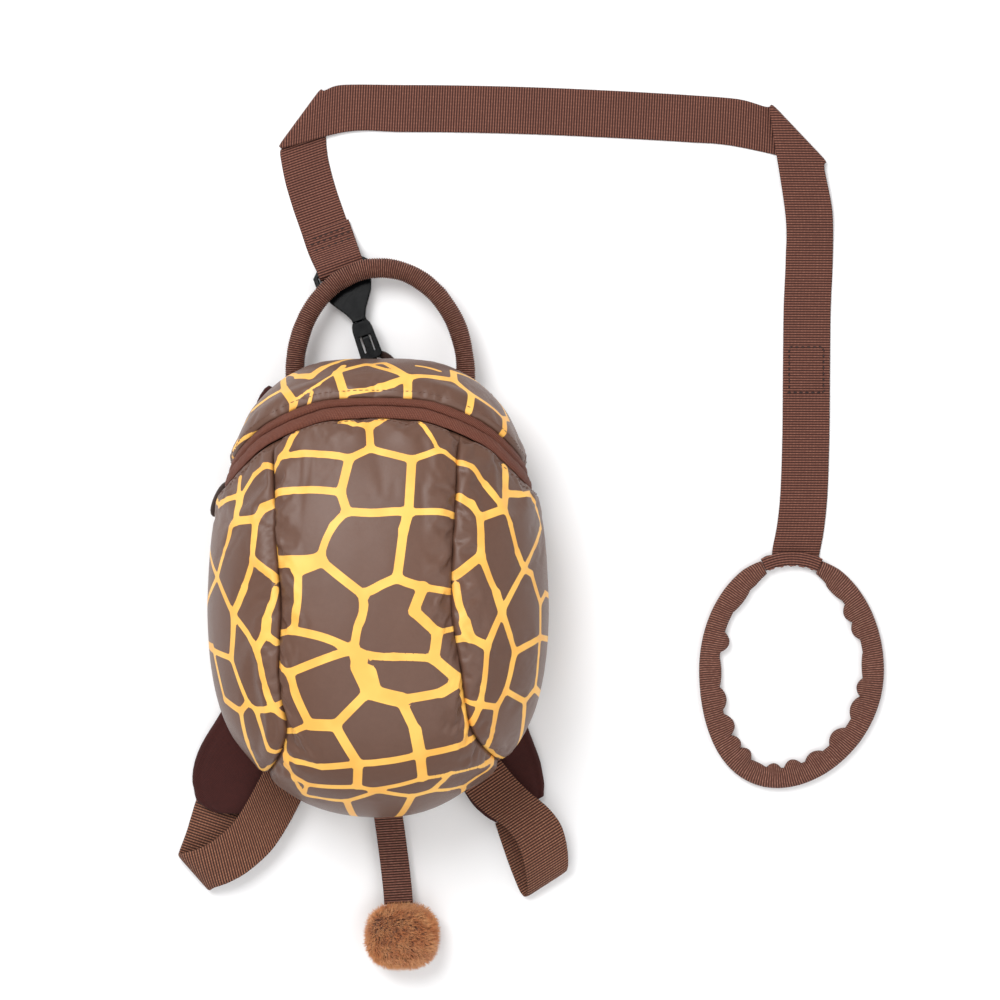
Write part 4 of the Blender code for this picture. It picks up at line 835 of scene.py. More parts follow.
def fur_material(colours):
    """Fur that is darker at its roots, painted as shade among the strands; the core under them takes
    the same root colour.
    """
    material, net, shader = new_material("soft_fur")
    tip = net.mark("tip", "Fac")
    place = net.place()
    shade = net.step(net.noise(place, 160.0, 2.0), 0.35, 0.65)
    ends = net.mix(shade, solid(colours.fur), solid(colours.fur_light))
    # Painted shade: each strand runs from the dark root colour to its end colour, and the core, which
    # has no tip value, is all root colour.
    net.tree.links.new(net.mix(tip, solid(colours.fur_root_shade), ends), shader.inputs["Base Color"])
    net.tree.links.new(net.step(tip, 0.0, 1.0, 0.9, 0.55), shader.inputs["Roughness"])
    shader.inputs["Sheen Weight"].default_value = 0.2
    return material


# Sizes and colours a user would change


def colour_property(name, description, red, green, blue):
    return bpy.props.FloatVectorProperty(name=name, description=description, subtype="COLOR",
                                         size=3, min=0, max=1, default=linear(red, green, blue))


def length_property(name, description, default):
    return bpy.props.FloatProperty(name=name, description=description, default=default,
                                   subtype="DISTANCE", unit="LENGTH", precision=5)


class PackColours(bpy.types.PropertyGroup):
    """Colours of the pack's cloth, webbing, plastic and fur."""

    patch: colour_property("Patch", "Brown between the printed lines", 100, 70, 56)
    patch_edge: colour_property("Patch edge", "Brown close to a printed line", 88, 58, 45)
    line: colour_property("Line", "Yellow printed lines", 250, 192, 92)
    line_deep: colour_property("Deep line", "Darker parts of the printed lines", 242, 178, 80)
    tape: colour_property("Zip tape", "Twill of the zip's tapes", 128, 74, 54)
    pad: colour_property("Pads", "Cloth of the shoulder pads", 76, 33, 29)
    back: colour_property("Back", "Cloth of the back panel", 62, 34, 31)
    rein: colour_property("Rein", "Webbing of the rein, handle and wrist loop", 124, 78, 64)
    strap: colour_property("Straps", "Webbing of the strap loops", 134, 86, 66)
    tail: colour_property("Tail", "Webbing of the tail", 122, 78, 66)
    plastic: colour_property("Plastic", "Moulded snap hook", 7, 8, 10)
    ring: colour_property("Ring", "Moulded ring", 52, 34, 29)
    metal: colour_property("Slider", "Painted zip slider", 92, 66, 54)
    fur: colour_property("Fur", "Fur of the tail's end", 214, 138, 84)
    fur_light: colour_property("Light fur", "Fur that catches the light", 238, 174, 118)
    # Painted shade of the fur near its roots.
    fur_root_shade: colour_property("Fur root", "Fur near its roots", 150, 88, 50)


class PackSizes(bpy.types.PropertyGroup):
    """Sizes of the cloth's swell, stitches, ribs and fur."""

    pressure: bpy.props.FloatProperty(name="Pressure", description="How hard the panels swell",
                                      default=4.0, min=0)
    pucker: bpy.props.FloatProperty(name="Pucker", description="Spare cloth along the seams",
                                    default=0.05, min=0, max=0.3, subtype="FACTOR")
    swell_cap: length_property("Swell limit", "How far a point of a panel may move", 0.0022)
    shell_wall: length_property("Shell wall", "Thickness of the padded shell", 0.0012)
    grid_step: length_property("Cloth step", "Spacing of the cloth's points", 0.0026)
    stitch_pitch: length_property("Stitch pitch", "From one stitch to the next", 0.0031)
    stitch_length: length_property("Stitch length", "Length of one stitch", 0.0023)
    stitch_inset: length_property("Stitch inset", "From the zip to the row of stitches", 0.0034)
    handle_rib: length_property("Handle rib", "Pitch of the handle's ribs", 0.00115)
    fur_length: length_property("Fur length", "Length of the fur", 0.0046)
    fur_count: bpy.props.IntProperty(name="Fur count", description="Number of fur strands",
                                     default=13000, min=100)


def sizes():
    return bpy.context.scene.pack_sizes


def colours():
    return bpy.context.scene.pack_colours


# Operators


def material_of(name):
    return bpy.data.materials[name]


def settle(piece, body="pack", nodes=()):
    """Joins a finished piece to the frame."""
    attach(piece, body)
    if nodes:
        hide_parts(*nodes)


class PACK_OT_finishes(bpy.types.Operator):
    """Make the shared effects and materials"""

    bl_idname = "pack.finishes"
    bl_label = "Finishes"

    def execute(self, context):
        tone = colours()
        build_effects()
        bpy.data.materials.new("work")
        printed_cloth(tone)
        # Each webbing gets its colour, then the painted highlight colour of its rib tops, then the
        # painted shade colour of the gaps between its ribs.
        webbing("zip_twill", tone.tape, linear(160, 108, 92), linear(84, 44, 36), 0.00085, 0.0011,
                0.35, 0.33, 0.00035)
        webbing("rein_weave", tone.rein, linear(172, 118, 98), linear(58, 28, 22), 0.00138, 0.0018,
                0.35)
        webbing("handle_weave", tone.rein, linear(190, 142, 122), linear(76, 46, 38),
                sizes().handle_rib, 0.0030, 0.10)
        webbing("gathered_weave", tone.rein, linear(192, 142, 122), linear(70, 42, 34), 0.00122,
                0.0040, 0.10, wobble=0.0004)
        webbing("strap_weave", tone.strap, linear(198, 146, 114), linear(58, 34, 25), 0.00150,
                0.0016, 0.35)
        webbing("tail_weave", tone.tail, linear(178, 128, 108), linear(50, 28, 22), 0.0014, 0.0036,
                0.12)
        # Each cloth gets its colour, then the painted shade colour of the weave's hollows.
        plain_cloth("pad_cloth", tone.pad, linear(50, 20, 18), 0.0009)
        plain_cloth("back_cloth", tone.back, linear(44, 27, 26), 0.0012)
        moulded("hook_plastic", tone.plastic, 0.20, shine=0.12)
        moulded("ring_plastic_finish", tone.ring, 0.42, shine=0.2)
        moulded("slider_paint", tone.metal, 0.42, 0.5)
        moulded("pull_rubber", linear(58, 42, 38), 0.6)
        moulded("stitch_thread", linear(112, 80, 66), 0.75)
        moulded("dark_thread", linear(46, 22, 18), 0.75)
        fur_material(tone)
        return {"FINISHED"}


def seams():
    """How many points the lines that bound the panels take, so that they lie evenly spaced on the
    body.
    """
    step = sizes().grid_step
    left_s, right_s = SEAM_ON_ZIP
    ends = {}
    for name, first, last in (("left", -1, left_s), ("middle", left_s, right_s),
                              ("right", right_s, 1)):
        line = shell(zip_line(0, first, last, 400))
        ends[name] = np.linalg.norm(np.diff(line, axis=0), axis=1).sum()
    seam_length = np.linalg.norm(np.diff(shell(seam_line(
        LEFT_SEAM, zip_line(0, left_s, left_s, 2)[0], 400)), axis=0), axis=1).sum()
    rows = int(seam_length / step)
    columns = {name: max(int(length / step), 8) for name, length in ends.items()}
    return rows, columns


def dressed(flat, swell, depths):
    """A grid on the body, swollen, dented and pulled in at its seams."""
    plain = shell(flat)
    distances = edge_distances(plain)
    offset = np.full(flat.shape[:2], swell)
    for centre_a, centre_b, radius, share in DENTS:
        gap = np.hypot(flat[..., 0] - centre_a, flat[..., 1] - centre_b) / radius
        offset -= share * BODY_DEPTH * np.exp(-gap * gap)
    for distance, depth in zip(distances, depths):
        if depth is None:
            continue
        offset -= (swell + depth) * np.exp(-distance / 0.0050)
    offset = np.maximum(offset, -1.25 * SEAM_DEPTH)
    return plain + offset[..., None] * shell_out(flat), distances


def shell_panel(name, flat, swell, depths, chart):
    """One printed panel: swollen as cloth, made finer, printed and given its wall."""
    size = sizes()
    grid, distances = dressed(flat, swell, depths)
    nearest = np.full(flat.shape[:2], 1.0)
    pinned = np.zeros(flat.shape[:2])
    pinned[0] = pinned[-1] = 1
    pinned[:, 0] = pinned[:, -1] = 1
    for distance, depth in zip(distances, depths):
        if depth is not None and depth > 0:
            nearest = np.minimum(nearest, distance)
    firmness = np.clip((nearest - 0.004) / 0.012, 0, 1)
    grid = puffed(grid, pinned, firmness, size)
    grid = finer(grid)
    flat = finer(flat)
    plain = shell(flat)
    left, right, top, bottom = edge_distances(plain)
    run = np.stack([left, top, np.zeros_like(left)], axis=-1)
    gap = print_distance(plain.reshape(-1, 3) * 1000, chart)
    piece = grid_piece(name, grid, material_of("printed_shell_cloth"),
                       {"run": run.reshape(-1, 3), "print_gap": gap})
    add_wall(piece, size.shell_wall)
    return piece, grid, (left, right, top, bottom)


class PACK_OT_shell(bpy.types.Operator):
    """Make the four printed panels of the body"""

    bl_idname = "pack.shell"
    bl_label = "Printed shell"

    def execute(self, context):
        rows, columns = seams()
        left_s, right_s = SEAM_ON_ZIP
        depth = SEAM_DEPTH
        left_seam = seam_line(LEFT_SEAM, zip_line(0, left_s, left_s, 2)[0], rows)
        right_seam = seam_line(RIGHT_SEAM, zip_line(0, right_s, right_s, 2)[0], rows)
        paths = []

        top = zip_line(0, left_s, right_s, columns["middle"])
        bottom = rim_arc(left_seam[-1], right_seam[-1], columns["middle"])
        piece, grid, away = shell_panel("front_panel_cloth", patch(left_seam, right_seam, top, bottom),
                                        0.0006, (depth, depth, depth, 0), "centre")
        settle(piece, nodes=["front_panel"])
        paths.append(self.row(grid, away[2]))

        for side, seam, first, last in (("left", left_seam, -1, left_s),
                                        ("right", right_seam, right_s, 1)):
            top = zip_line(0, first, last, columns[side])
            corner = top[0] if side == "left" else top[-1]
            rim = rim_arc(corner, seam[-1], rows)
            point = np.repeat(seam[-1:], columns[side], axis=0)
            if side == "left":
                flat, depths = patch(rim, seam, top, point), (0, depth, depth, None)
            else:
                flat, depths = patch(seam, rim, top, point), (depth, 0, depth, None)
            width = np.linalg.norm(np.diff(shell(flat), axis=1), axis=2).sum(axis=1)
            flat = flat[width > 0.0030]
            piece, grid, away = shell_panel(f"side_panel_{side}_cloth", flat, 0.0006, depths, side)
            settle(piece, nodes=[f"side_panel_{side}"])
            paths.append(self.row(grid, away[2]))

        whole = sum(columns.values())
        edge = zip_line(2, -1, 1, whole)
        rim = rim_arc(edge[0], (0, 1), whole // 2 + 1)
        rim = np.concatenate([rim[:-1], rim_arc((0, 1), edge[-1], whole - len(rim) + 1)])
        steps = np.linspace(0, 1, 30)[:, None, None]
        flat = (rim[None] * (1 - steps) + edge[None] * steps)[:, 3:-3]
        piece, grid, away = shell_panel("lid_cloth", flat, 0.0006, (0, 0, 0, depth), "top")
        settle(piece, nodes=["lid"])
        paths.append(self.row(grid, away[3]))
        context.scene["stitch_paths"] = [
            [float(value) for value in np.asarray(path).reshape(-1)] for path in paths]
        return {"FINISHED"}

    def row(self, grid, away):
        """A line on the panel at the stitches' distance from its zip edge."""
        inset = sizes().stitch_inset
        points = []
        for column in range(4, grid.shape[1] - 4):
            order = np.argsort(away[:, column])
            points.append([np.interp(inset, away[order, column], grid[order, column, k])
                           for k in range(3)])
        points = np.array(points)
        outward = points - (0, SUMMIT_Y, 0.03)
        outward /= np.linalg.norm(outward, axis=1, keepdims=True)
        return points + outward * 0.0002


class PACK_OT_zip(bpy.types.Operator):
    """Make the two zip tapes and refinish the slider"""

    bl_idname = "pack.zip"
    bl_label = "Zip"

    def execute(self, context):
        count = 300
        for name, first, second, crown in (("lower", 0, 1, 0.0012), ("upper", 1, 2, 0.0010)):
            edge = zip_line(first, -1, 1, count)
            other = zip_line(second, -1, 1, count)
            steps = np.linspace(0, 1, 13)[:, None, None]
            flat = (edge[None] * (1 - steps) + other[None] * steps)[:, 2:-2]
            plain = shell(flat)
            left, right, top, bottom = edge_distances(plain)
            share = top / np.maximum(top + bottom, 1e-9)
            lift = crown * (1 - np.abs(2 * share - 1) ** 3) - SEAM_DEPTH * 0.93
            slit = bottom if first == 0 else top
            lift -= 0.0016 * np.exp(-slit / 0.0006)
            ripple = 0.00018 * np.sin(left / 0.0021) * np.sin(left / 0.0047 + first)
            grid = plain + (lift + ripple)[..., None] * shell_out(flat)
            run = np.stack([left, top, np.zeros_like(left)], axis=-1)
            tape = grid_piece(f"zip_tape_{name}_cloth", grid, material_of("zip_twill"),
                              {"run": run.reshape(-1, 3)})
            add_wall(tape, 0.0009)
            settle(tape, nodes=[f"zip_tape_{name}"])
        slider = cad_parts["zip_slider"]
        slider.data.materials[0] = material_of("slider_paint")
        return {"FINISHED"}


def run_nodes(name, inputs, build):
    """A Geometry Nodes tree with named inputs; build gets a Net and the inputs."""
    tree = bpy.data.node_groups.new(name, "GeometryNodeTree")
    tree.interface.new_socket("Geometry", in_out="INPUT", socket_type="NodeSocketGeometry")
    for key, kind in inputs:
        tree.interface.new_socket(key, in_out="INPUT", socket_type=kind)
    tree.interface.new_socket("Geometry", in_out="OUTPUT", socket_type="NodeSocketGeometry")
    net = Net(tree)
    given = net.add("NodeGroupInput")
    result = net.add("NodeGroupOutput")
    tree.links.new(build(net, given.outputs), result.inputs[0])
    return tree


def made_by(piece, tree, values, name):
    """Runs a tree on a carrier object and gives the plain mesh that comes out."""
    modifier = piece.modifiers.new("nodes", "NODES")
    modifier.node_group = tree
    for item in tree.interface.items_tree:
        if item.in_out == "INPUT" and item.name in values:
            modifier[item.identifier] = values[item.name]
    piece.update_tag()
    bpy.context.view_layer.update()
    seen = piece.evaluated_get(bpy.context.evaluated_depsgraph_get())
    mesh = bpy.data.meshes.new_from_object(seen)
    mesh.name = name
    bpy.data.objects.remove(piece)
    result = bpy.data.objects.new(name, mesh)
    bpy.context.scene.collection.objects.link(result)
    return result


def line_object(name, paths):
    """Loose edges along each path."""
    points, edges = [], []
    for path in paths:
        start = len(points)
        points.extend(map(tuple, path))
        edges.extend((start + i, start + i + 1) for i in range(len(path) - 1))
    mesh = bpy.data.meshes.new(name)
    mesh.from_pydata(points, edges, [])
    carrier = bpy.data.objects.new(name, mesh)
    bpy.context.scene.collection.objects.link(carrier)
    return carrier


class PACK_OT_stitches(bpy.types.Operator):
    """Sew the rows of stitches beside the zip"""

    bl_idname = "pack.stitches"
    bl_label = "Stitches"

    def execute(self, context):
        size = sizes()
        stored = context.scene["stitch_paths"]
        paths = [np.array(list(row)).reshape(-1, 3) for row in stored]
        del context.scene["stitch_paths"]
        work = bmesh.new()
        bmesh.ops.create_uvsphere(work, u_segments=6, v_segments=4, radius=1)
        for vertex in work.verts:
            vertex.co = Vector((vertex.co.z * size.stitch_length / 2, vertex.co.y * 0.00022,
                                vertex.co.x * 0.00022))
        bead = bpy.data.meshes.new("stitch_bead")
        work.to_mesh(bead)
        work.free()
        bead_object = bpy.data.objects.new("stitch_bead", bead)
        context.scene.collection.objects.link(bead_object)

        def build(net, given):
            curve = net.add("GeometryNodeMeshToCurve", {"Mesh": given["Geometry"]})
            evened = net.add("GeometryNodeResampleCurve", {"Curve": curve.outputs[0]},
                             mode="LENGTH")
            net.tree.links.new(given["Pitch"], evened.inputs["Length"])
            tangent = net.add("GeometryNodeInputTangent")
            turn = net.add("FunctionNodeAlignRotationToVector", {"Vector": tangent.outputs[0]},
                           axis="X")
            source = net.add("GeometryNodeObjectInfo", {"Object": given["Stitch"]})
            copies = net.add("GeometryNodeInstanceOnPoints", {
                "Points": evened.outputs[0], "Instance": source.outputs["Geometry"],
                "Rotation": turn.outputs[0], "Scale": given["Swell"]})
            real = net.add("GeometryNodeRealizeInstances", {0: copies.outputs[0]})
            return net.add("GeometryNodeSetMaterial", {
                "Geometry": real.outputs[0], "Material": given["Thread"]}).outputs[0]

        tree = run_nodes("stitch_row", [("Stitch", "NodeSocketObject"), ("Pitch", NUMBER),
                                        ("Swell", VECTOR),
                                        ("Thread", "NodeSocketMaterial")], build)
        for name, lines, finish, swell, slot in (
                ("zip_stitches", paths, "stitch_thread", (1.0, 1.0, 1.0), "zip_tape"),
                ("rein_stitches", self.rein_lines(), "dark_thread", (0.9, 2.2, 1.6),
                 "rein_webbing")):
            piece = made_by(line_object(name, lines), tree,
                            {"Stitch": bead_object, "Pitch": size.stitch_pitch, "Swell": swell,
                             "Thread": material_of(finish)}, name)
            settle(piece)
        bpy.data.objects.remove(bead_object)
        return {"FINISHED"}

    def rein_lines(self):
        """Rows across the rein's turned-back end, and the box sewn further along it."""
        lines = []
        across = eased([[tuple(a), tuple(b)] for a, b in rein_end_rulings(TURNBACK_SHARES)], 0.001)
        middles = across.mean(axis=1)
        along = np.linalg.norm(middles - middles[0], axis=1)
        for away, share in SEWN_ROWS:
            row = np.argmin(np.abs(along - away))
            arm = (across[row, 1] - across[row, 0]) / 2 * share
            middle = middles[row] + (0, 0, REIN_THICKNESS / 2 + 0.0003)
            lines.append([middle - arm, middle + arm])
        left, right, low, high = SEWN_BOX
        z = FLOOR + 0.56 * REIN_THICKNESS + REIN_THICKNESS / 2 + 0.0002
        corners = [(left, low, z), (right, low, z), (right, high, z), (left, high, z),
                   (left, low, z)]
        return lines + [corners]


def superellipse(width, thickness, count, side_power=0.45, top_power=0.55):
    """A closed section with full round edges, its base at zero height."""
    turn = 2 * math.pi * (np.arange(count) + 0.5) / count
    x = np.sign(np.cos(turn)) * np.abs(np.cos(turn)) ** side_power * width / 2
    z = np.sign(np.sin(turn)) * np.abs(np.sin(turn)) ** top_power * thickness / 2
    return np.stack([x, z + thickness / 2], axis=1)


class PACK_OT_back(bpy.types.Operator):
    """Make the padded back panel with its binding, and the shoulder pads"""

    bl_idname = "pack.back"
    bl_label = "Back and pads"

    def execute(self, context):
        for side, table in (("left", LEFT_PAD), ("right", RIGHT_PAD)):
            fine = smooth(table, 6 * len(table) - 5)
            path = fine[:, :2] * (BODY_WIDTH / 2, BODY_LENGTH / 2)
            heading = np.gradient(path, axis=0)
            heading /= np.linalg.norm(heading, axis=1, keepdims=True)
            across = np.stack([heading[:, 1], -heading[:, 0], np.zeros(len(path))], axis=1)
            lengths = np.concatenate([[0], np.cumsum(np.linalg.norm(np.diff(path, axis=0), axis=1))])
            sections, runs = [], []
            for wide, thick, lift, along in zip(fine[:, 2], fine[:, 3], fine[:, 4], lengths):
                tall = min(thick, 1.0) * PAD_THICKNESS - 0.0002
                section = superellipse(wide * PAD_WIDTH, tall, 40)
                edge = np.abs(section[:, 0]) / (wide * PAD_WIDTH / 2)
                groove = np.exp(-((edge - 0.80) / 0.045) ** 2) * 0.0009
                middle = section[:, 1] - tall / 2
                section[:, 1] -= np.sign(middle) * groove
                section[:, 1] += FLOOR + max(lift, 0) * PAD_THICKNESS + 0.0001
                sections.append(section)
                runs.append(np.stack([np.full(40, along), section[:, 0], np.zeros(40)], axis=1))
            middles = np.stack([path[:, 0], path[:, 1], np.zeros(len(path))], axis=1)
            ups = np.tile((0.0, 0.0, 1.0), (len(path), 1))
            pad = sweep_piece(f"shoulder_pad_{side}_cloth", middles, across, ups,
                              np.array(sections), material_of("pad_cloth"),
                              {"run": np.concatenate(runs)})
            settle(pad, nodes=[f"shoulder_pad_{side}"])

        count = 160
        turn = 2 * math.pi * np.arange(count) / count
        rings = []
        for inset, height in ((0.072, 0.0), (0.055, 0.0), (0.035, 0.0), (0.020, 0.0), (0.0098, 0.0),
                              (0.0088, 0.0006), (0.0078, 0.0), (0.0030, 0.0), (0.0010, 0.0004),
                              (0.0, 0.0016), (0.0, 0.0044), (0.0008, BACK_THICKNESS - 0.0004),
                              (0.0022, BACK_THICKNESS), (0.02, BACK_THICKNESS),
                              (0.05, BACK_THICKNESS), (0.072, BACK_THICKNESS)):
            radius = np.interp(np.arcsin(np.sin(turn)), ANGLES, RADII) - RIM_INSET - inset
            rings.append(np.stack([radius * np.cos(turn), SUMMIT_Y + radius * np.sin(turn),
                                   np.full(count, height)], axis=1))
        points = np.array(rings)
        faces = list(faces_of(len(rings), count, around=True))
        faces.append(list(range(count)))
        faces.append(list(range((len(rings) - 1) * count, len(rings) * count)))
        flat = points.reshape(-1, 3)
        back = add_piece("back_panel_cloth", points, faces, material_of("back_cloth"),
                         {"run": flat * (1, 1, 0)}, turn_out=True)
        settle(back, nodes=["back_panel"])
        return {"FINISHED"}


def eased(rows, step):
    """A smooth line through unevenly spaced rows, with points about a step apart."""
    rows = np.array(rows, dtype=float)
    flat = rows.reshape(len(rows), -1)
    gaps = np.maximum(np.linalg.norm(np.diff(flat, axis=0), axis=1), 1e-6)
    knots = np.concatenate([[0], np.cumsum(np.sqrt(gaps))])
    slopes = np.diff(flat, axis=0) / np.diff(knots)[:, None]
    tangents = np.vstack([slopes[:1], np.zeros((len(flat) - 2, flat.shape[1])), slopes[-1:]])
    for i in range(1, len(flat) - 1):
        before, after = knots[i] - knots[i - 1], knots[i + 1] - knots[i]
        tangents[i] = (slopes[i - 1] * after + slopes[i] * before) / (before + after)
    result = []
    for i, gap in enumerate(gaps):
        span = knots[i + 1] - knots[i]
        parts = max(int(math.ceil(gap / 1.4 / step)), 2)
        for f in np.arange(parts) / parts:
            result.append((2 * f ** 3 - 3 * f ** 2 + 1) * flat[i] + (f ** 3 - 2 * f ** 2 + f) * span
                          * tangents[i] + (3 * f ** 2 - 2 * f ** 3) * flat[i + 1]
                          + (f ** 3 - f ** 2) * span * tangents[i + 1])
    result.append(flat[-1])
    return np.array(result).reshape(-1, *rows.shape[1:])


def ribbon(name, rulings, thickness, material):
    """Webbing through crosswise lines, with soft edges; gives the piece and its length."""
    rulings = eased(rulings, 0.0022)
    first, second = rulings[:, 0], rulings[:, 1]
    middles = (first + second) / 2
    arms = (second - first) / 2
    along = np.gradient(middles, axis=0)
    ups = np.cross(along, arms)
    ups /= np.maximum(np.linalg.norm(ups, axis=1, keepdims=True), 1e-12)
    turn = 2 * math.pi * (np.arange(24) + 0.5) / 24
    x = np.sign(np.cos(turn)) * np.abs(np.cos(turn)) ** 0.55
    z = np.sign(np.sin(turn)) * (1 - np.abs(x) ** 12) ** 0.5 * thickness / 2
    edge_first = np.concatenate([[0], np.cumsum(np.linalg.norm(np.diff(first, axis=0), axis=1))])
    edge_second = np.concatenate([[0], np.cumsum(np.linalg.norm(np.diff(second, axis=0), axis=1))])
    share = (x + 1) / 2
    width = np.linalg.norm(arms, axis=1)
    run = np.stack([edge_first[:, None] * (1 - share) + edge_second[:, None] * share,
                    np.repeat((x * np.median(width))[None], len(middles), axis=0),
                    np.zeros((len(middles), len(x)))], axis=-1)
    section = np.stack([x, z], axis=1)
    piece = sweep_piece(name, middles, arms, ups, section, material, {"run": run.reshape(-1, 3)})
    # the folds lie on the floor and don't go into it
    for vertex in piece.data.vertices:
        vertex.co.z = max(vertex.co.z, FLOOR)
    length = np.linalg.norm(np.diff(middles, axis=0), axis=1).sum()
    return piece, length


def hook_place(u, v, w):
    """A point from the hook's own coordinates."""
    level = Vector((math.cos(HOOK_TURN), math.sin(HOOK_TURN), 0))
    across = Vector((-level.y, level.x, 0))
    along = level * math.cos(HOOK_TILT) + Vector((0, 0, math.sin(HOOK_TILT)))
    up = along.cross(across)
    waist = Vector((HOOK_X, HOOK_Y, FLOOR + HOOK_HEIGHT))
    return waist + along * u + across * v + up * (w - JAW_HEIGHT / 2)


def rein_end_rulings(shares):
    """Crosswise lines of the turned-back end, from its cut edge to the hook's bar."""
    across = (hook_place(0, 1, 0) - hook_place(0, 0, 0)) * REIN_WIDTH / 2
    bar = hook_place(STRAP_BAR / 2 - BASE_LENGTH, 0, JAW_HEIGHT / 2)
    top = bar.z + BASE_THICKNESS / 2 + 0.0003 + REIN_THICKNESS / 2
    upper_z = FLOOR + REIN[0][2] * REIN_THICKNESS + REIN_THICKNESS + 0.0003
    rulings = []
    for share in shares:
        middle = hook_place(-BASE_LENGTH - share * REIN_TURNBACK, 0, 0)
        climb = np.interp(share, (0, 0.12, 0.28, 0.5, 0.75, 1), (1, 0.92, 0.62, 0.22, 0.02, 0))
        middle.z = upper_z + (top - upper_z) * climb
        rulings.append((middle - across, middle + across))
    return rulings


def rein_rulings():
    """Crosswise lines of the rein, with each fold rolled about its crease."""
    half = REIN_WIDTH / 2
    across = (hook_place(0, 1, 0) - hook_place(0, 0, 0)) * half
    lift = BASE_THICKNESS / 2 + 0.0003 + REIN_THICKNESS / 2
    bar_u = STRAP_BAR / 2 - BASE_LENGTH
    floor_z = FLOOR + REIN[0][2] * REIN_THICKNESS
    rulings = rein_end_rulings(TURNBACK_SHARES)
    for turn in np.radians((75, 50, 25, 0, -25, -50, -75, -105)):
        middle = hook_place(bar_u + 0.0009 + 0.0024 * math.cos(turn), 0,
                            JAW_HEIGHT / 2 + lift * math.sin(turn))
        middle.z = max(middle.z, floor_z)
        rulings.append((middle - across, middle + across))
    points = [Vector((x * REIN_SPREAD, y * REIN_REACH, FLOOR + h * REIN_THICKNESS))
              for x, y, h, fold in REIN]
    side = across.to_2d()
    for i, (x, y, h, fold) in enumerate(REIN):
        before = (points[i] - points[max(i - 1, 0)]).to_2d()
        after = (points[min(i + 1, len(points) - 1)] - points[i]).to_2d()
        if fold:
            before.normalize()
            after.normalize()
            crease = (before + after).normalized()
            if crease.dot(side) < 0:
                crease = -crease
            reach = half / abs(before.x * crease.y - before.y * crease.x)
            out = before - crease * before.dot(crease)
            out.normalize()
            for turn in np.radians((0, 45, 90, 135, 180)):
                shift = out * (FOLD_RADIUS * (math.sin(turn) - 1))
                middle = points[i] + Vector((shift.x, shift.y, FOLD_RADIUS * (1 - math.cos(turn))))
                arm = Vector((crease.x, crease.y, 0)) * reach
                rulings.append((middle - arm, middle + arm))
            side = crease
            continue
        heading = before.normalized() + after.normalized()
        if i == 0:
            heading = after
        if i == len(REIN) - 1:
            heading = Vector((0, -1))
        turned = Vector((-heading.y, heading.x)).normalized()
        side = turned if turned.dot(side) > 0 else -turned
        arm = Vector((side.x, side.y, 0)) * half
        rulings.append((points[i] - arm, points[i] + arm))
    return rulings


def tail_rulings():
    radius = np.interp(-math.pi / 2, ANGLES, RADII) - RIM_INSET
    top = Vector((TAIL_X, SUMMIT_Y - radius - 0.0006, BACK_THICKNESS / 2))
    rulings = []
    for share, drift, drop in ((0, 0, 0), (0.12, 0.010, 0.05), (0.3, 0.035, 0.35),
                               (0.5, 0.060, 0.60), (0.7, 0.085, 0.62), (0.88, 0.105, 0.50),
                               (1.0, 0.115, 0.30)):
        middle = top + Vector((drift * TAIL_LENGTH, -share * TAIL_LENGTH, -drop * PAD_THICKNESS))
        arm = Vector((TAIL_WIDTH / 2, 0.06 * TAIL_WIDTH / 2, 0))
        rulings.append((middle - arm, middle + arm))
    return rulings


class PACK_OT_webbing(bpy.types.Operator):
    """Make the rein, the strap loops and the tail's strip from flat webbing"""

    bl_idname = "pack.webbing"
    bl_label = "Webbing"

    def execute(self, context):
        piece, length = ribbon("rein_strip", [[tuple(a), tuple(b)] for a, b in rein_rulings()],
                               REIN_THICKNESS, material_of("rein_weave"))
        settle(piece, nodes=["rein"])
        for side, table in (("left", LEFT_STRAP), ("right", RIGHT_STRAP)):
            rulings = []
            for x1, y1, x2, y2, h1, h2 in smooth(table, 2 * len(table) - 1):
                first = Vector((x1 * BODY_WIDTH / 2, y1 * BODY_LENGTH / 2,
                                FLOOR + h1 * PAD_THICKNESS))
                second = Vector((x2 * BODY_WIDTH / 2, y2 * BODY_LENGTH / 2,
                                 FLOOR + h2 * PAD_THICKNESS))
                middle = (first + second) / 2
                arm = (second - first).normalized() * STRAP_WIDTH / 2
                rulings.append([tuple(middle - arm), tuple(middle + arm)])
            piece, length = ribbon(f"strap_{side}_strip", rulings, STRAP_THICKNESS,
                                   material_of("strap_weave"))
            settle(piece, nodes=[f"strap_webbing_{side}"])
        piece, length = ribbon("tail_strip", [[tuple(a), tuple(b)] for a, b in tail_rulings()],
                               TAIL_THICKNESS, material_of("tail_weave"))
        settle(piece, nodes=["tail_webbing"])
        return {"FINISHED"}


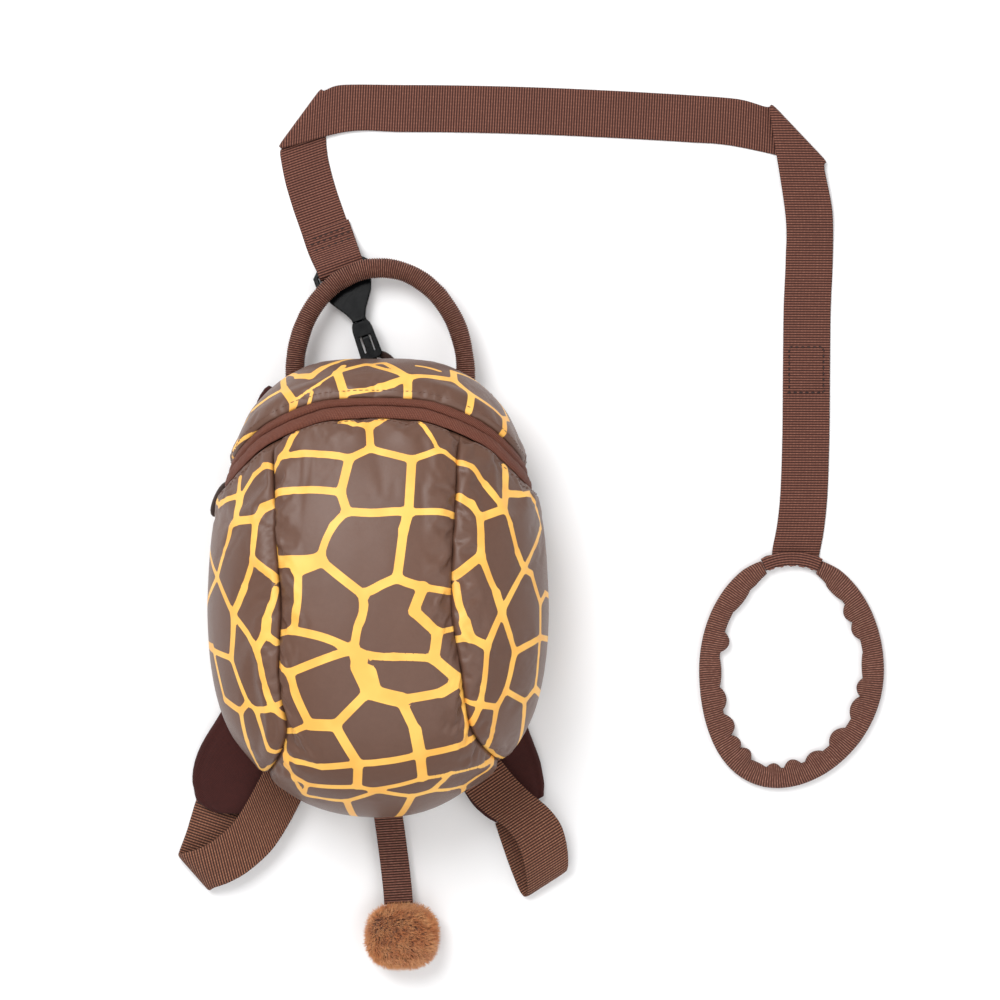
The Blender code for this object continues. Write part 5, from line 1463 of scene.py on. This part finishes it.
class PACK_OT_handle(bpy.types.Operator):
    """Sweep the stuffed grab handle with its ribs"""

    bl_idname = "pack.handle"
    bl_label = "Grab handle"

    def execute(self, context):
        half = HANDLE_WIDTH / 2
        turn = np.linspace(0, math.pi, 121)
        path = np.stack([-half * np.cos(turn),
                         HANDLE_FOOT_Y + HANDLE_HEIGHT * np.sin(turn) ** 0.95,
                         FLOOR + HANDLE_LIFT - HANDLE_SAG * np.sin(turn)], axis=1)
        path = np.vstack([path[0] - (0, 0.004, 0), path, path[-1] - (0, 0.004, 0)])

        def build(net, given):
            curve = net.add("GeometryNodeMeshToCurve", {"Mesh": given["Geometry"]})
            fine = net.math("DIVIDE", given["Rib pitch"], 5.0)
            evened = net.add("GeometryNodeResampleCurve", {"Curve": curve.outputs[0]},
                             mode="LENGTH")
            net.tree.links.new(fine, evened.inputs["Length"])
            along = net.add("GeometryNodeSplineParameter")
            kept = net.add("GeometryNodeCaptureAttribute", {"Geometry": evened.outputs[0]},
                           domain="POINT")
            kept.capture_items.new("FLOAT", "Along")
            net.tree.links.new(along.outputs["Length"], kept.inputs["Along"])
            ring = net.add("GeometryNodeCurvePrimitiveCircle", {"Resolution": 40},
                           mode="RADIUS")
            net.tree.links.new(given["Radius"], ring.inputs["Radius"])
            tube = net.add("GeometryNodeCurveToMesh", {
                "Curve": kept.outputs["Geometry"], "Profile Curve": ring.outputs[0],
                "Fill Caps": True})
            turns = net.math("DIVIDE", kept.outputs["Along"], given["Rib pitch"])
            wave = net.math("COSINE", net.math("MULTIPLY", turns, 2 * math.pi))
            rise = net.math("MULTIPLY", wave, given["Rib depth"])
            crush = net.add("ShaderNodeTexNoise", {"Scale": 70.0, "Detail": 1.0})
            rise = net.math("ADD", rise, net.math("MULTIPLY_ADD", crush.outputs[0], 0.0012,
                                                  -0.00066))
            facing = net.add("GeometryNodeInputNormal")
            shift = net.add("ShaderNodeVectorMath", {0: facing.outputs[0]}, operation="SCALE")
            net.tree.links.new(rise, shift.inputs["Scale"])
            moved = net.add("GeometryNodeSetPosition", {"Geometry": tube.outputs[0],
                                                        "Offset": shift.outputs[0]})
            spot = net.add("GeometryNodeInputPosition")
            parts = net.add("ShaderNodeSeparateXYZ", {0: spot.outputs[0]})
            run = net.add("ShaderNodeCombineXYZ", {0: kept.outputs["Along"],
                                                   1: parts.outputs[2]})
            store = net.add("GeometryNodeStoreNamedAttribute", {
                "Geometry": moved.outputs[0], "Name": "run", "Value": run.outputs[0]},
                data_type="FLOAT_VECTOR", domain="POINT")
            real = net.add("GeometryNodeRealizeInstances", {0: store.outputs[0]})
            return net.add("GeometryNodeSetMaterial", {
                "Geometry": real.outputs[0], "Material": given["Webbing"]}).outputs[0]

        tree = run_nodes("ribbed_tube", [("Radius", NUMBER), ("Rib pitch", NUMBER),
                                         ("Rib depth", NUMBER),
                                         ("Webbing", "NodeSocketMaterial")], build)
        pitch = sizes().handle_rib
        piece = made_by(line_object("handle_path", [path]), tree,
                        {"Radius": HANDLE_DIAMETER / 2 - 0.0006, "Rib pitch": pitch,
                         "Rib depth": 0.00026, "Webbing": material_of("handle_weave")},
                        "grab_handle_tube")
        piece.data.shade_smooth()
        settle(piece, nodes=["grab_handle"])
        return {"FINISHED"}


def loop_middle(turn):
    """Middle line of the wrist loop; turn 0 is at the top and grows clockwise."""
    turn = np.asarray(turn, dtype=float)
    low = np.maximum(0.0, -np.cos(turn))
    return np.stack([LOOP_X + (LOOP_WIDTH - LOOP_BAND) / 2 * np.sin(turn) + LOOP_LEAN * low * low,
                     LOOP_Y + (LOOP_HEIGHT - LOOP_BAND) / 2 * np.cos(turn),
                     np.zeros_like(turn)], axis=-1)


def loop_frame(turn):
    middle = loop_middle(turn)
    ahead = loop_middle(turn + 0.01) - loop_middle(turn - 0.01)
    outward = np.stack([-ahead[:, 1], ahead[:, 0], np.zeros(len(ahead))], axis=1)
    outward /= np.linalg.norm(outward, axis=1, keepdims=True)
    return middle, outward


class PACK_OT_wrist_loop(bpy.types.Operator):
    """Make the gathered wrist loop and the sleeve that joins it to the rein"""

    bl_idname = "pack.wrist_loop"
    bl_label = "Wrist loop"

    def execute(self, context):
        radius = (LOOP_WIDTH - LOOP_BAND) / 2
        opening = JOIN_LENGTH / 2 / radius
        start = opening + 0.0003 / radius
        count = 760
        turn = np.linspace(start, 2 * math.pi - start, count)
        middles, outward = loop_frame(turn)
        share = np.linspace(0, 1, count)
        degrees = np.degrees(turn)
        bulge = np.zeros(count)
        for place, width, height in RUFFLES:
            lobe = np.clip(1 - ((degrees - place) / width) ** 2, 0, 1) ** 0.8
            bulge = np.maximum(bulge, height * lobe)
        bulge -= 0.0004
        along = np.concatenate([[0], np.cumsum(np.linalg.norm(np.diff(middles, axis=0), axis=1))])
        shoulder = np.minimum(1.0, 0.72 + 8.0 * np.minimum(share, 1 - share))
        band = LOOP_BAND * shoulder
        sections, runs = [], []
        points = 36
        for k in range(count):
            section = superellipse(band[k], LOOP_THICKNESS * (0.8 + 0.2 * shoulder[k]) - 0.0004,
                                   points, 0.62, 0.70)
            x = section[:, 0] / (band[k] / 2)
            inner = np.clip(-x, 0, 1) ** 1.4
            crease = np.exp(-((x - 0.12) / 0.14) ** 2) * (section[:, 1] > LOOP_THICKNESS / 2)
            lift = 1.1 * bulge[k] * inner * np.clip(section[:, 1] / LOOP_THICKNESS, 0, 1)
            section[:, 0] -= bulge[k] * inner - (LOOP_BAND - band[k]) / 2 * 0.4
            section[:, 1] += FLOOR + 0.0001 - 0.0007 * crease + lift * 0.4
            sections.append(section)
            runs.append(np.stack([np.full(points, along[k]) + 0.0006 * (x - 0.12) ** 2 * np.sign(x),
                                  section[:, 0], np.zeros(points)], axis=1))
        ups = np.tile((0.0, 0.0, 1.0), (count, 1))
        loop = sweep_piece("wrist_loop_tube", middles, outward, ups, np.array(sections),
                           material_of("gathered_weave"), {"run": np.concatenate(runs)})
        settle(loop, nodes=["wrist_loop"])

        count = 60
        turn = np.linspace(-opening, opening, count)
        middles, outward = loop_frame(turn)
        share = np.linspace(-1, 1, count)
        along = np.linspace(0, JOIN_LENGTH, count)
        base = FLOOR + REIN_THICKNESS + 0.0006
        sections, runs = [], []
        for k in range(count):
            section = superellipse(JOIN_WIDTH * (1 + 0.05 * math.cos(5 * math.pi * share[k])),
                                   JOIN_THICKNESS, 28, 0.5, 0.6)
            ragged = (math.sin(along[k] * 2600) + math.sin(along[k] * 1130 + 1)) * 0.00016
            ragged = ragged * (section[:, 0] < 0)
            section[:, 0] += LOOP_BAND / 5 + ragged
            section[:, 1] += base
            groove = np.exp(-((section[:, 0] - LOOP_BAND / 5 - 0.0006) / 0.0004) ** 2)
            section[:, 1] -= 0.0005 * groove * (section[:, 1] > base + JOIN_THICKNESS / 2)
            sections.append(section)
            runs.append(np.stack([section[:, 0], np.full(28, along[k]), np.zeros(28)], axis=1))
        ups = np.tile((0.0, 0.0, 1.0), (count, 1))
        join = sweep_piece("loop_join_sleeve", middles, outward, ups, np.array(sections),
                           material_of("rein_weave"), {"run": np.concatenate(runs)})
        settle(join, nodes=["loop_join"])
        return {"FINISHED"}


class PACK_OT_hardware(bpy.types.Operator):
    """Give the snap hook, its ring and the zip's pull their finishes"""

    bl_idname = "pack.hardware"
    bl_label = "Hook, ring and pull"

    def execute(self, context):
        for name, finish in (("hook_base", "hook_plastic"), ("hook_jaw", "hook_plastic"),
                             ("hook_tongue", "hook_plastic"),
                             ("top_ring", "ring_plastic_finish")):
            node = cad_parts[name]
            node.data.materials[0] = material_of(finish)
        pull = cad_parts["zip_pull"]
        pull.data.materials[0] = material_of("pull_rubber")
        return {"FINISHED"}


class PACK_OT_pompom(bpy.types.Operator):
    """Grow the fur at the end of the tail"""

    bl_idname = "pack.pompom"
    bl_label = "Fur pompom"

    def execute(self, context):
        size = sizes()
        low, high = (np.array(corner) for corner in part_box("tail_pompom"))
        centre = (low + high) / 2
        work = bmesh.new()
        bmesh.ops.create_icosphere(work, subdivisions=5, radius=1)
        half = (high - low) / 2 - 0.0024
        for vertex in work.verts:
            direction = vertex.co.normalized()
            square = sum(abs(part) ** 2.8 for part in direction) ** (-1 / 2.8)
            vertex.co = Vector(centre + np.array(direction) * half * square)
            vertex.co.z = max(vertex.co.z, FLOOR + 0.0008)
        head = bpy.data.meshes.new("pompom_head")
        work.to_mesh(head)
        work.free()
        carrier = bpy.data.objects.new("pompom_head", head)
        context.scene.collection.objects.link(carrier)

        strand = []
        for reach, thick, bend in ((0, 1.0, 0), (0.55, 0.75, 0.10), (1.0, 0.12, 0.34)):
            for k in range(3):
                turn = 2 * math.pi * k / 3
                strand.append((math.cos(turn) * thick * 0.052 + bend, math.sin(turn) * thick * 0.052,
                               reach))
        faces = list(faces_of(3, 3, around=True)) + [[6, 7, 8], [2, 1, 0]]
        hair = add_piece("fur_strand", np.array(strand), faces, material_of("soft_fur"),
                         {"tip": np.repeat([0.0, 0.6, 1.0], 3)}, turn_out=True)

        def build(net, given):
            spots = net.add("GeometryNodeDistributePointsOnFaces", {
                "Mesh": given["Geometry"], "Density": given["Density"], "Seed": given["Seed"]},
                distribute_method="RANDOM")
            source = net.add("GeometryNodeObjectInfo", {"Object": given["Strand"]})
            spread_by = net.add("FunctionNodeRandomValue", {
                "Min": (-0.55, -0.85, -0.40), "Max": (0.55, 0.25, 0.45), "Seed": 3},
                data_type="FLOAT_VECTOR")
            place = net.add("GeometryNodeInputPosition")
            clump = net.add("ShaderNodeTexNoise", {"Vector": place.outputs[0], "Scale": 260.0},
                            noise_dimensions="3D")
            clumped = net.add("ShaderNodeVectorMath", {0: clump.outputs["Color"],
                                                       1: (0.5, 0.5, 0.5)}, operation="SUBTRACT")
            clumped = net.add("ShaderNodeVectorMath", {0: clumped.outputs[0], "Scale": 1.3},
                              operation="SCALE")
            lean = net.add("ShaderNodeVectorMath", {0: spread_by.outputs["Value"],
                                                    1: clumped.outputs[0]}, operation="ADD")
            point_to = net.add("ShaderNodeVectorMath", {0: spots.outputs["Normal"],
                                                        1: lean.outputs[0]}, operation="ADD")
            turn = net.add("FunctionNodeAlignRotationToVector", {"Vector": point_to.outputs[0]},
                           axis="Z")
            length = net.add("FunctionNodeRandomValue", {2: 0.65, 3: 1.15, "Seed": 5},
                             data_type="FLOAT")
            scale = net.math("MULTIPLY", length.outputs[1], given["Length"])
            copies = net.add("GeometryNodeInstanceOnPoints", {
                "Points": spots.outputs["Points"], "Instance": source.outputs["Geometry"],
                "Rotation": turn.outputs[0]})
            net.tree.links.new(scale, copies.inputs["Scale"])
            joined = net.add("GeometryNodeJoinGeometry")
            net.tree.links.new(copies.outputs[0], joined.inputs[0])
            net.tree.links.new(given["Geometry"], joined.inputs[0])
            real = net.add("GeometryNodeRealizeInstances", {0: joined.outputs[0]})
            return net.add("GeometryNodeSetMaterial", {
                "Geometry": real.outputs[0], "Material": given["Fur"]}).outputs[0]

        tree = run_nodes("grown_fur", [("Strand", "NodeSocketObject"), ("Density", NUMBER),
                                       ("Length", NUMBER), ("Seed", "NodeSocketInt"),
                                       ("Fur", "NodeSocketMaterial")], build)
        area = sum(face.area for face in head.polygons)
        piece = made_by(carrier, tree, {"Strand": hair, "Density": size.fur_count / area,
                                        "Length": size.fur_length, "Seed": 11,
                                        "Fur": material_of("soft_fur")}, "tail_pompom_fur")
        bpy.data.objects.remove(hair)
        points = np.empty(len(piece.data.vertices) * 3)
        piece.data.vertices.foreach_get("co", points)
        points = points.reshape(-1, 3)
        points[:, 2] = np.maximum(points[:, 2], FLOOR + 0.0001)
        piece.data.vertices.foreach_set("co", points.reshape(-1))
        settle(piece, nodes=["tail_pompom"])
        return {"FINISHED"}


class PACK_OT_stage(bpy.types.Operator):
    """Set the floor, the lights and the camera"""

    bl_idname = "pack.stage"
    bl_label = "Stage"

    def execute(self, context):
        scene = context.scene
        material, net, shader = new_material("pale_floor")
        grain = net.noise(net.place(), 3.0, 2.0)
        net.tree.links.new(net.mix(grain, (0.93, 0.93, 0.94, 1), (0.95, 0.95, 0.955, 1)),
                           shader.inputs["Base Color"])
        shader.inputs["Roughness"].default_value = 0.9
        shader.inputs["Specular IOR Level"].default_value = 0.1
        half = 4.0
        z = FLOOR - 0.0001
        floor = add_piece("studio_floor", np.array([(-half, -half, z), (half, -half, z),
                                                    (half, half, z), (-half, half, z)]),
                          [[0, 1, 2, 3]], material)
        for name, place, size, power in (
                ("key_light", (-0.45, 0.70, 1.30), 0.8, 17.0),
                ("fill_light", (0.95, -0.25, 1.2), 1.0, 5.0),
                ("top_light", (-0.10, -0.75, 1.5), 1.0, 5.0)):
            data = bpy.data.lights.new(name, "AREA")
            data.shape = "SQUARE"
            data.size = size
            data.energy = power
            lamp = bpy.data.objects.new(name, data)
            lamp.location = place
            aim = Vector((0.05, 0.0, 0.0)) - Vector(place)
            lamp.rotation_euler = aim.to_track_quat("-Z", "Y").to_euler()
            scene.collection.objects.link(lamp)
        world = bpy.data.worlds.new("studio")
        world.use_nodes = True
        sky = world.node_tree.nodes["Background"]
        sky.inputs[0].default_value = (1.0, 1.0, 1.0, 1)
        sky.inputs[1].default_value = 0.56
        scene.world = world
        scene.view_settings.view_transform = "Standard"
        lens = bpy.data.cameras.new("camera")
        lens.lens = 106.67
        lens.sensor_width = 36
        lens.clip_start = 0.05
        lens.clip_end = 50
        eye = bpy.data.objects.new("camera", lens)
        eye.location = (0.064, 0.046, FLOOR + 1.6)
        scene.collection.objects.link(eye)
        scene.camera = eye
        return {"FINISHED"}


STEPS = (PACK_OT_stage, PACK_OT_finishes, PACK_OT_shell, PACK_OT_zip, PACK_OT_stitches,
         PACK_OT_back, PACK_OT_webbing, PACK_OT_handle, PACK_OT_wrist_loop, PACK_OT_hardware,
         PACK_OT_pompom)


class PACK_PT_panel(bpy.types.Panel):
    """The pack's pieces, sizes and colours"""

    bl_idname = "PACK_PT_panel"
    bl_label = "Animal backpack"
    bl_space_type = "VIEW_3D"
    bl_region_type = "UI"
    bl_category = "Backpack"

    def draw(self, context):
        for step in STEPS:
            self.layout.operator(step.bl_idname)
        for group in (context.scene.pack_sizes, context.scene.pack_colours):
            box = self.layout.box()
            for key in group.bl_rna.properties.keys():
                if key not in ("rna_type", "name"):
                    box.prop(group, key)


CLASSES = (PackColours, PackSizes, *STEPS, PACK_PT_panel)


def register():
    for item in CLASSES:
        bpy.utils.register_class(item)
    bpy.types.Scene.pack_colours = bpy.props.PointerProperty(type=PackColours)
    bpy.types.Scene.pack_sizes = bpy.props.PointerProperty(type=PackSizes)


def unregister():
    del bpy.types.Scene.pack_sizes
    del bpy.types.Scene.pack_colours
    for item in reversed(CLASSES):
        bpy.utils.unregister_class(item)


def main():
    register()
    for step in STEPS:
        group, name = step.bl_idname.split(".")
        getattr(getattr(bpy.ops, group), name)()
    scratch = bpy.data.materials.get("work")
    if scratch:
        bpy.data.materials.remove(scratch)


if __name__ == "__main__":
    main()
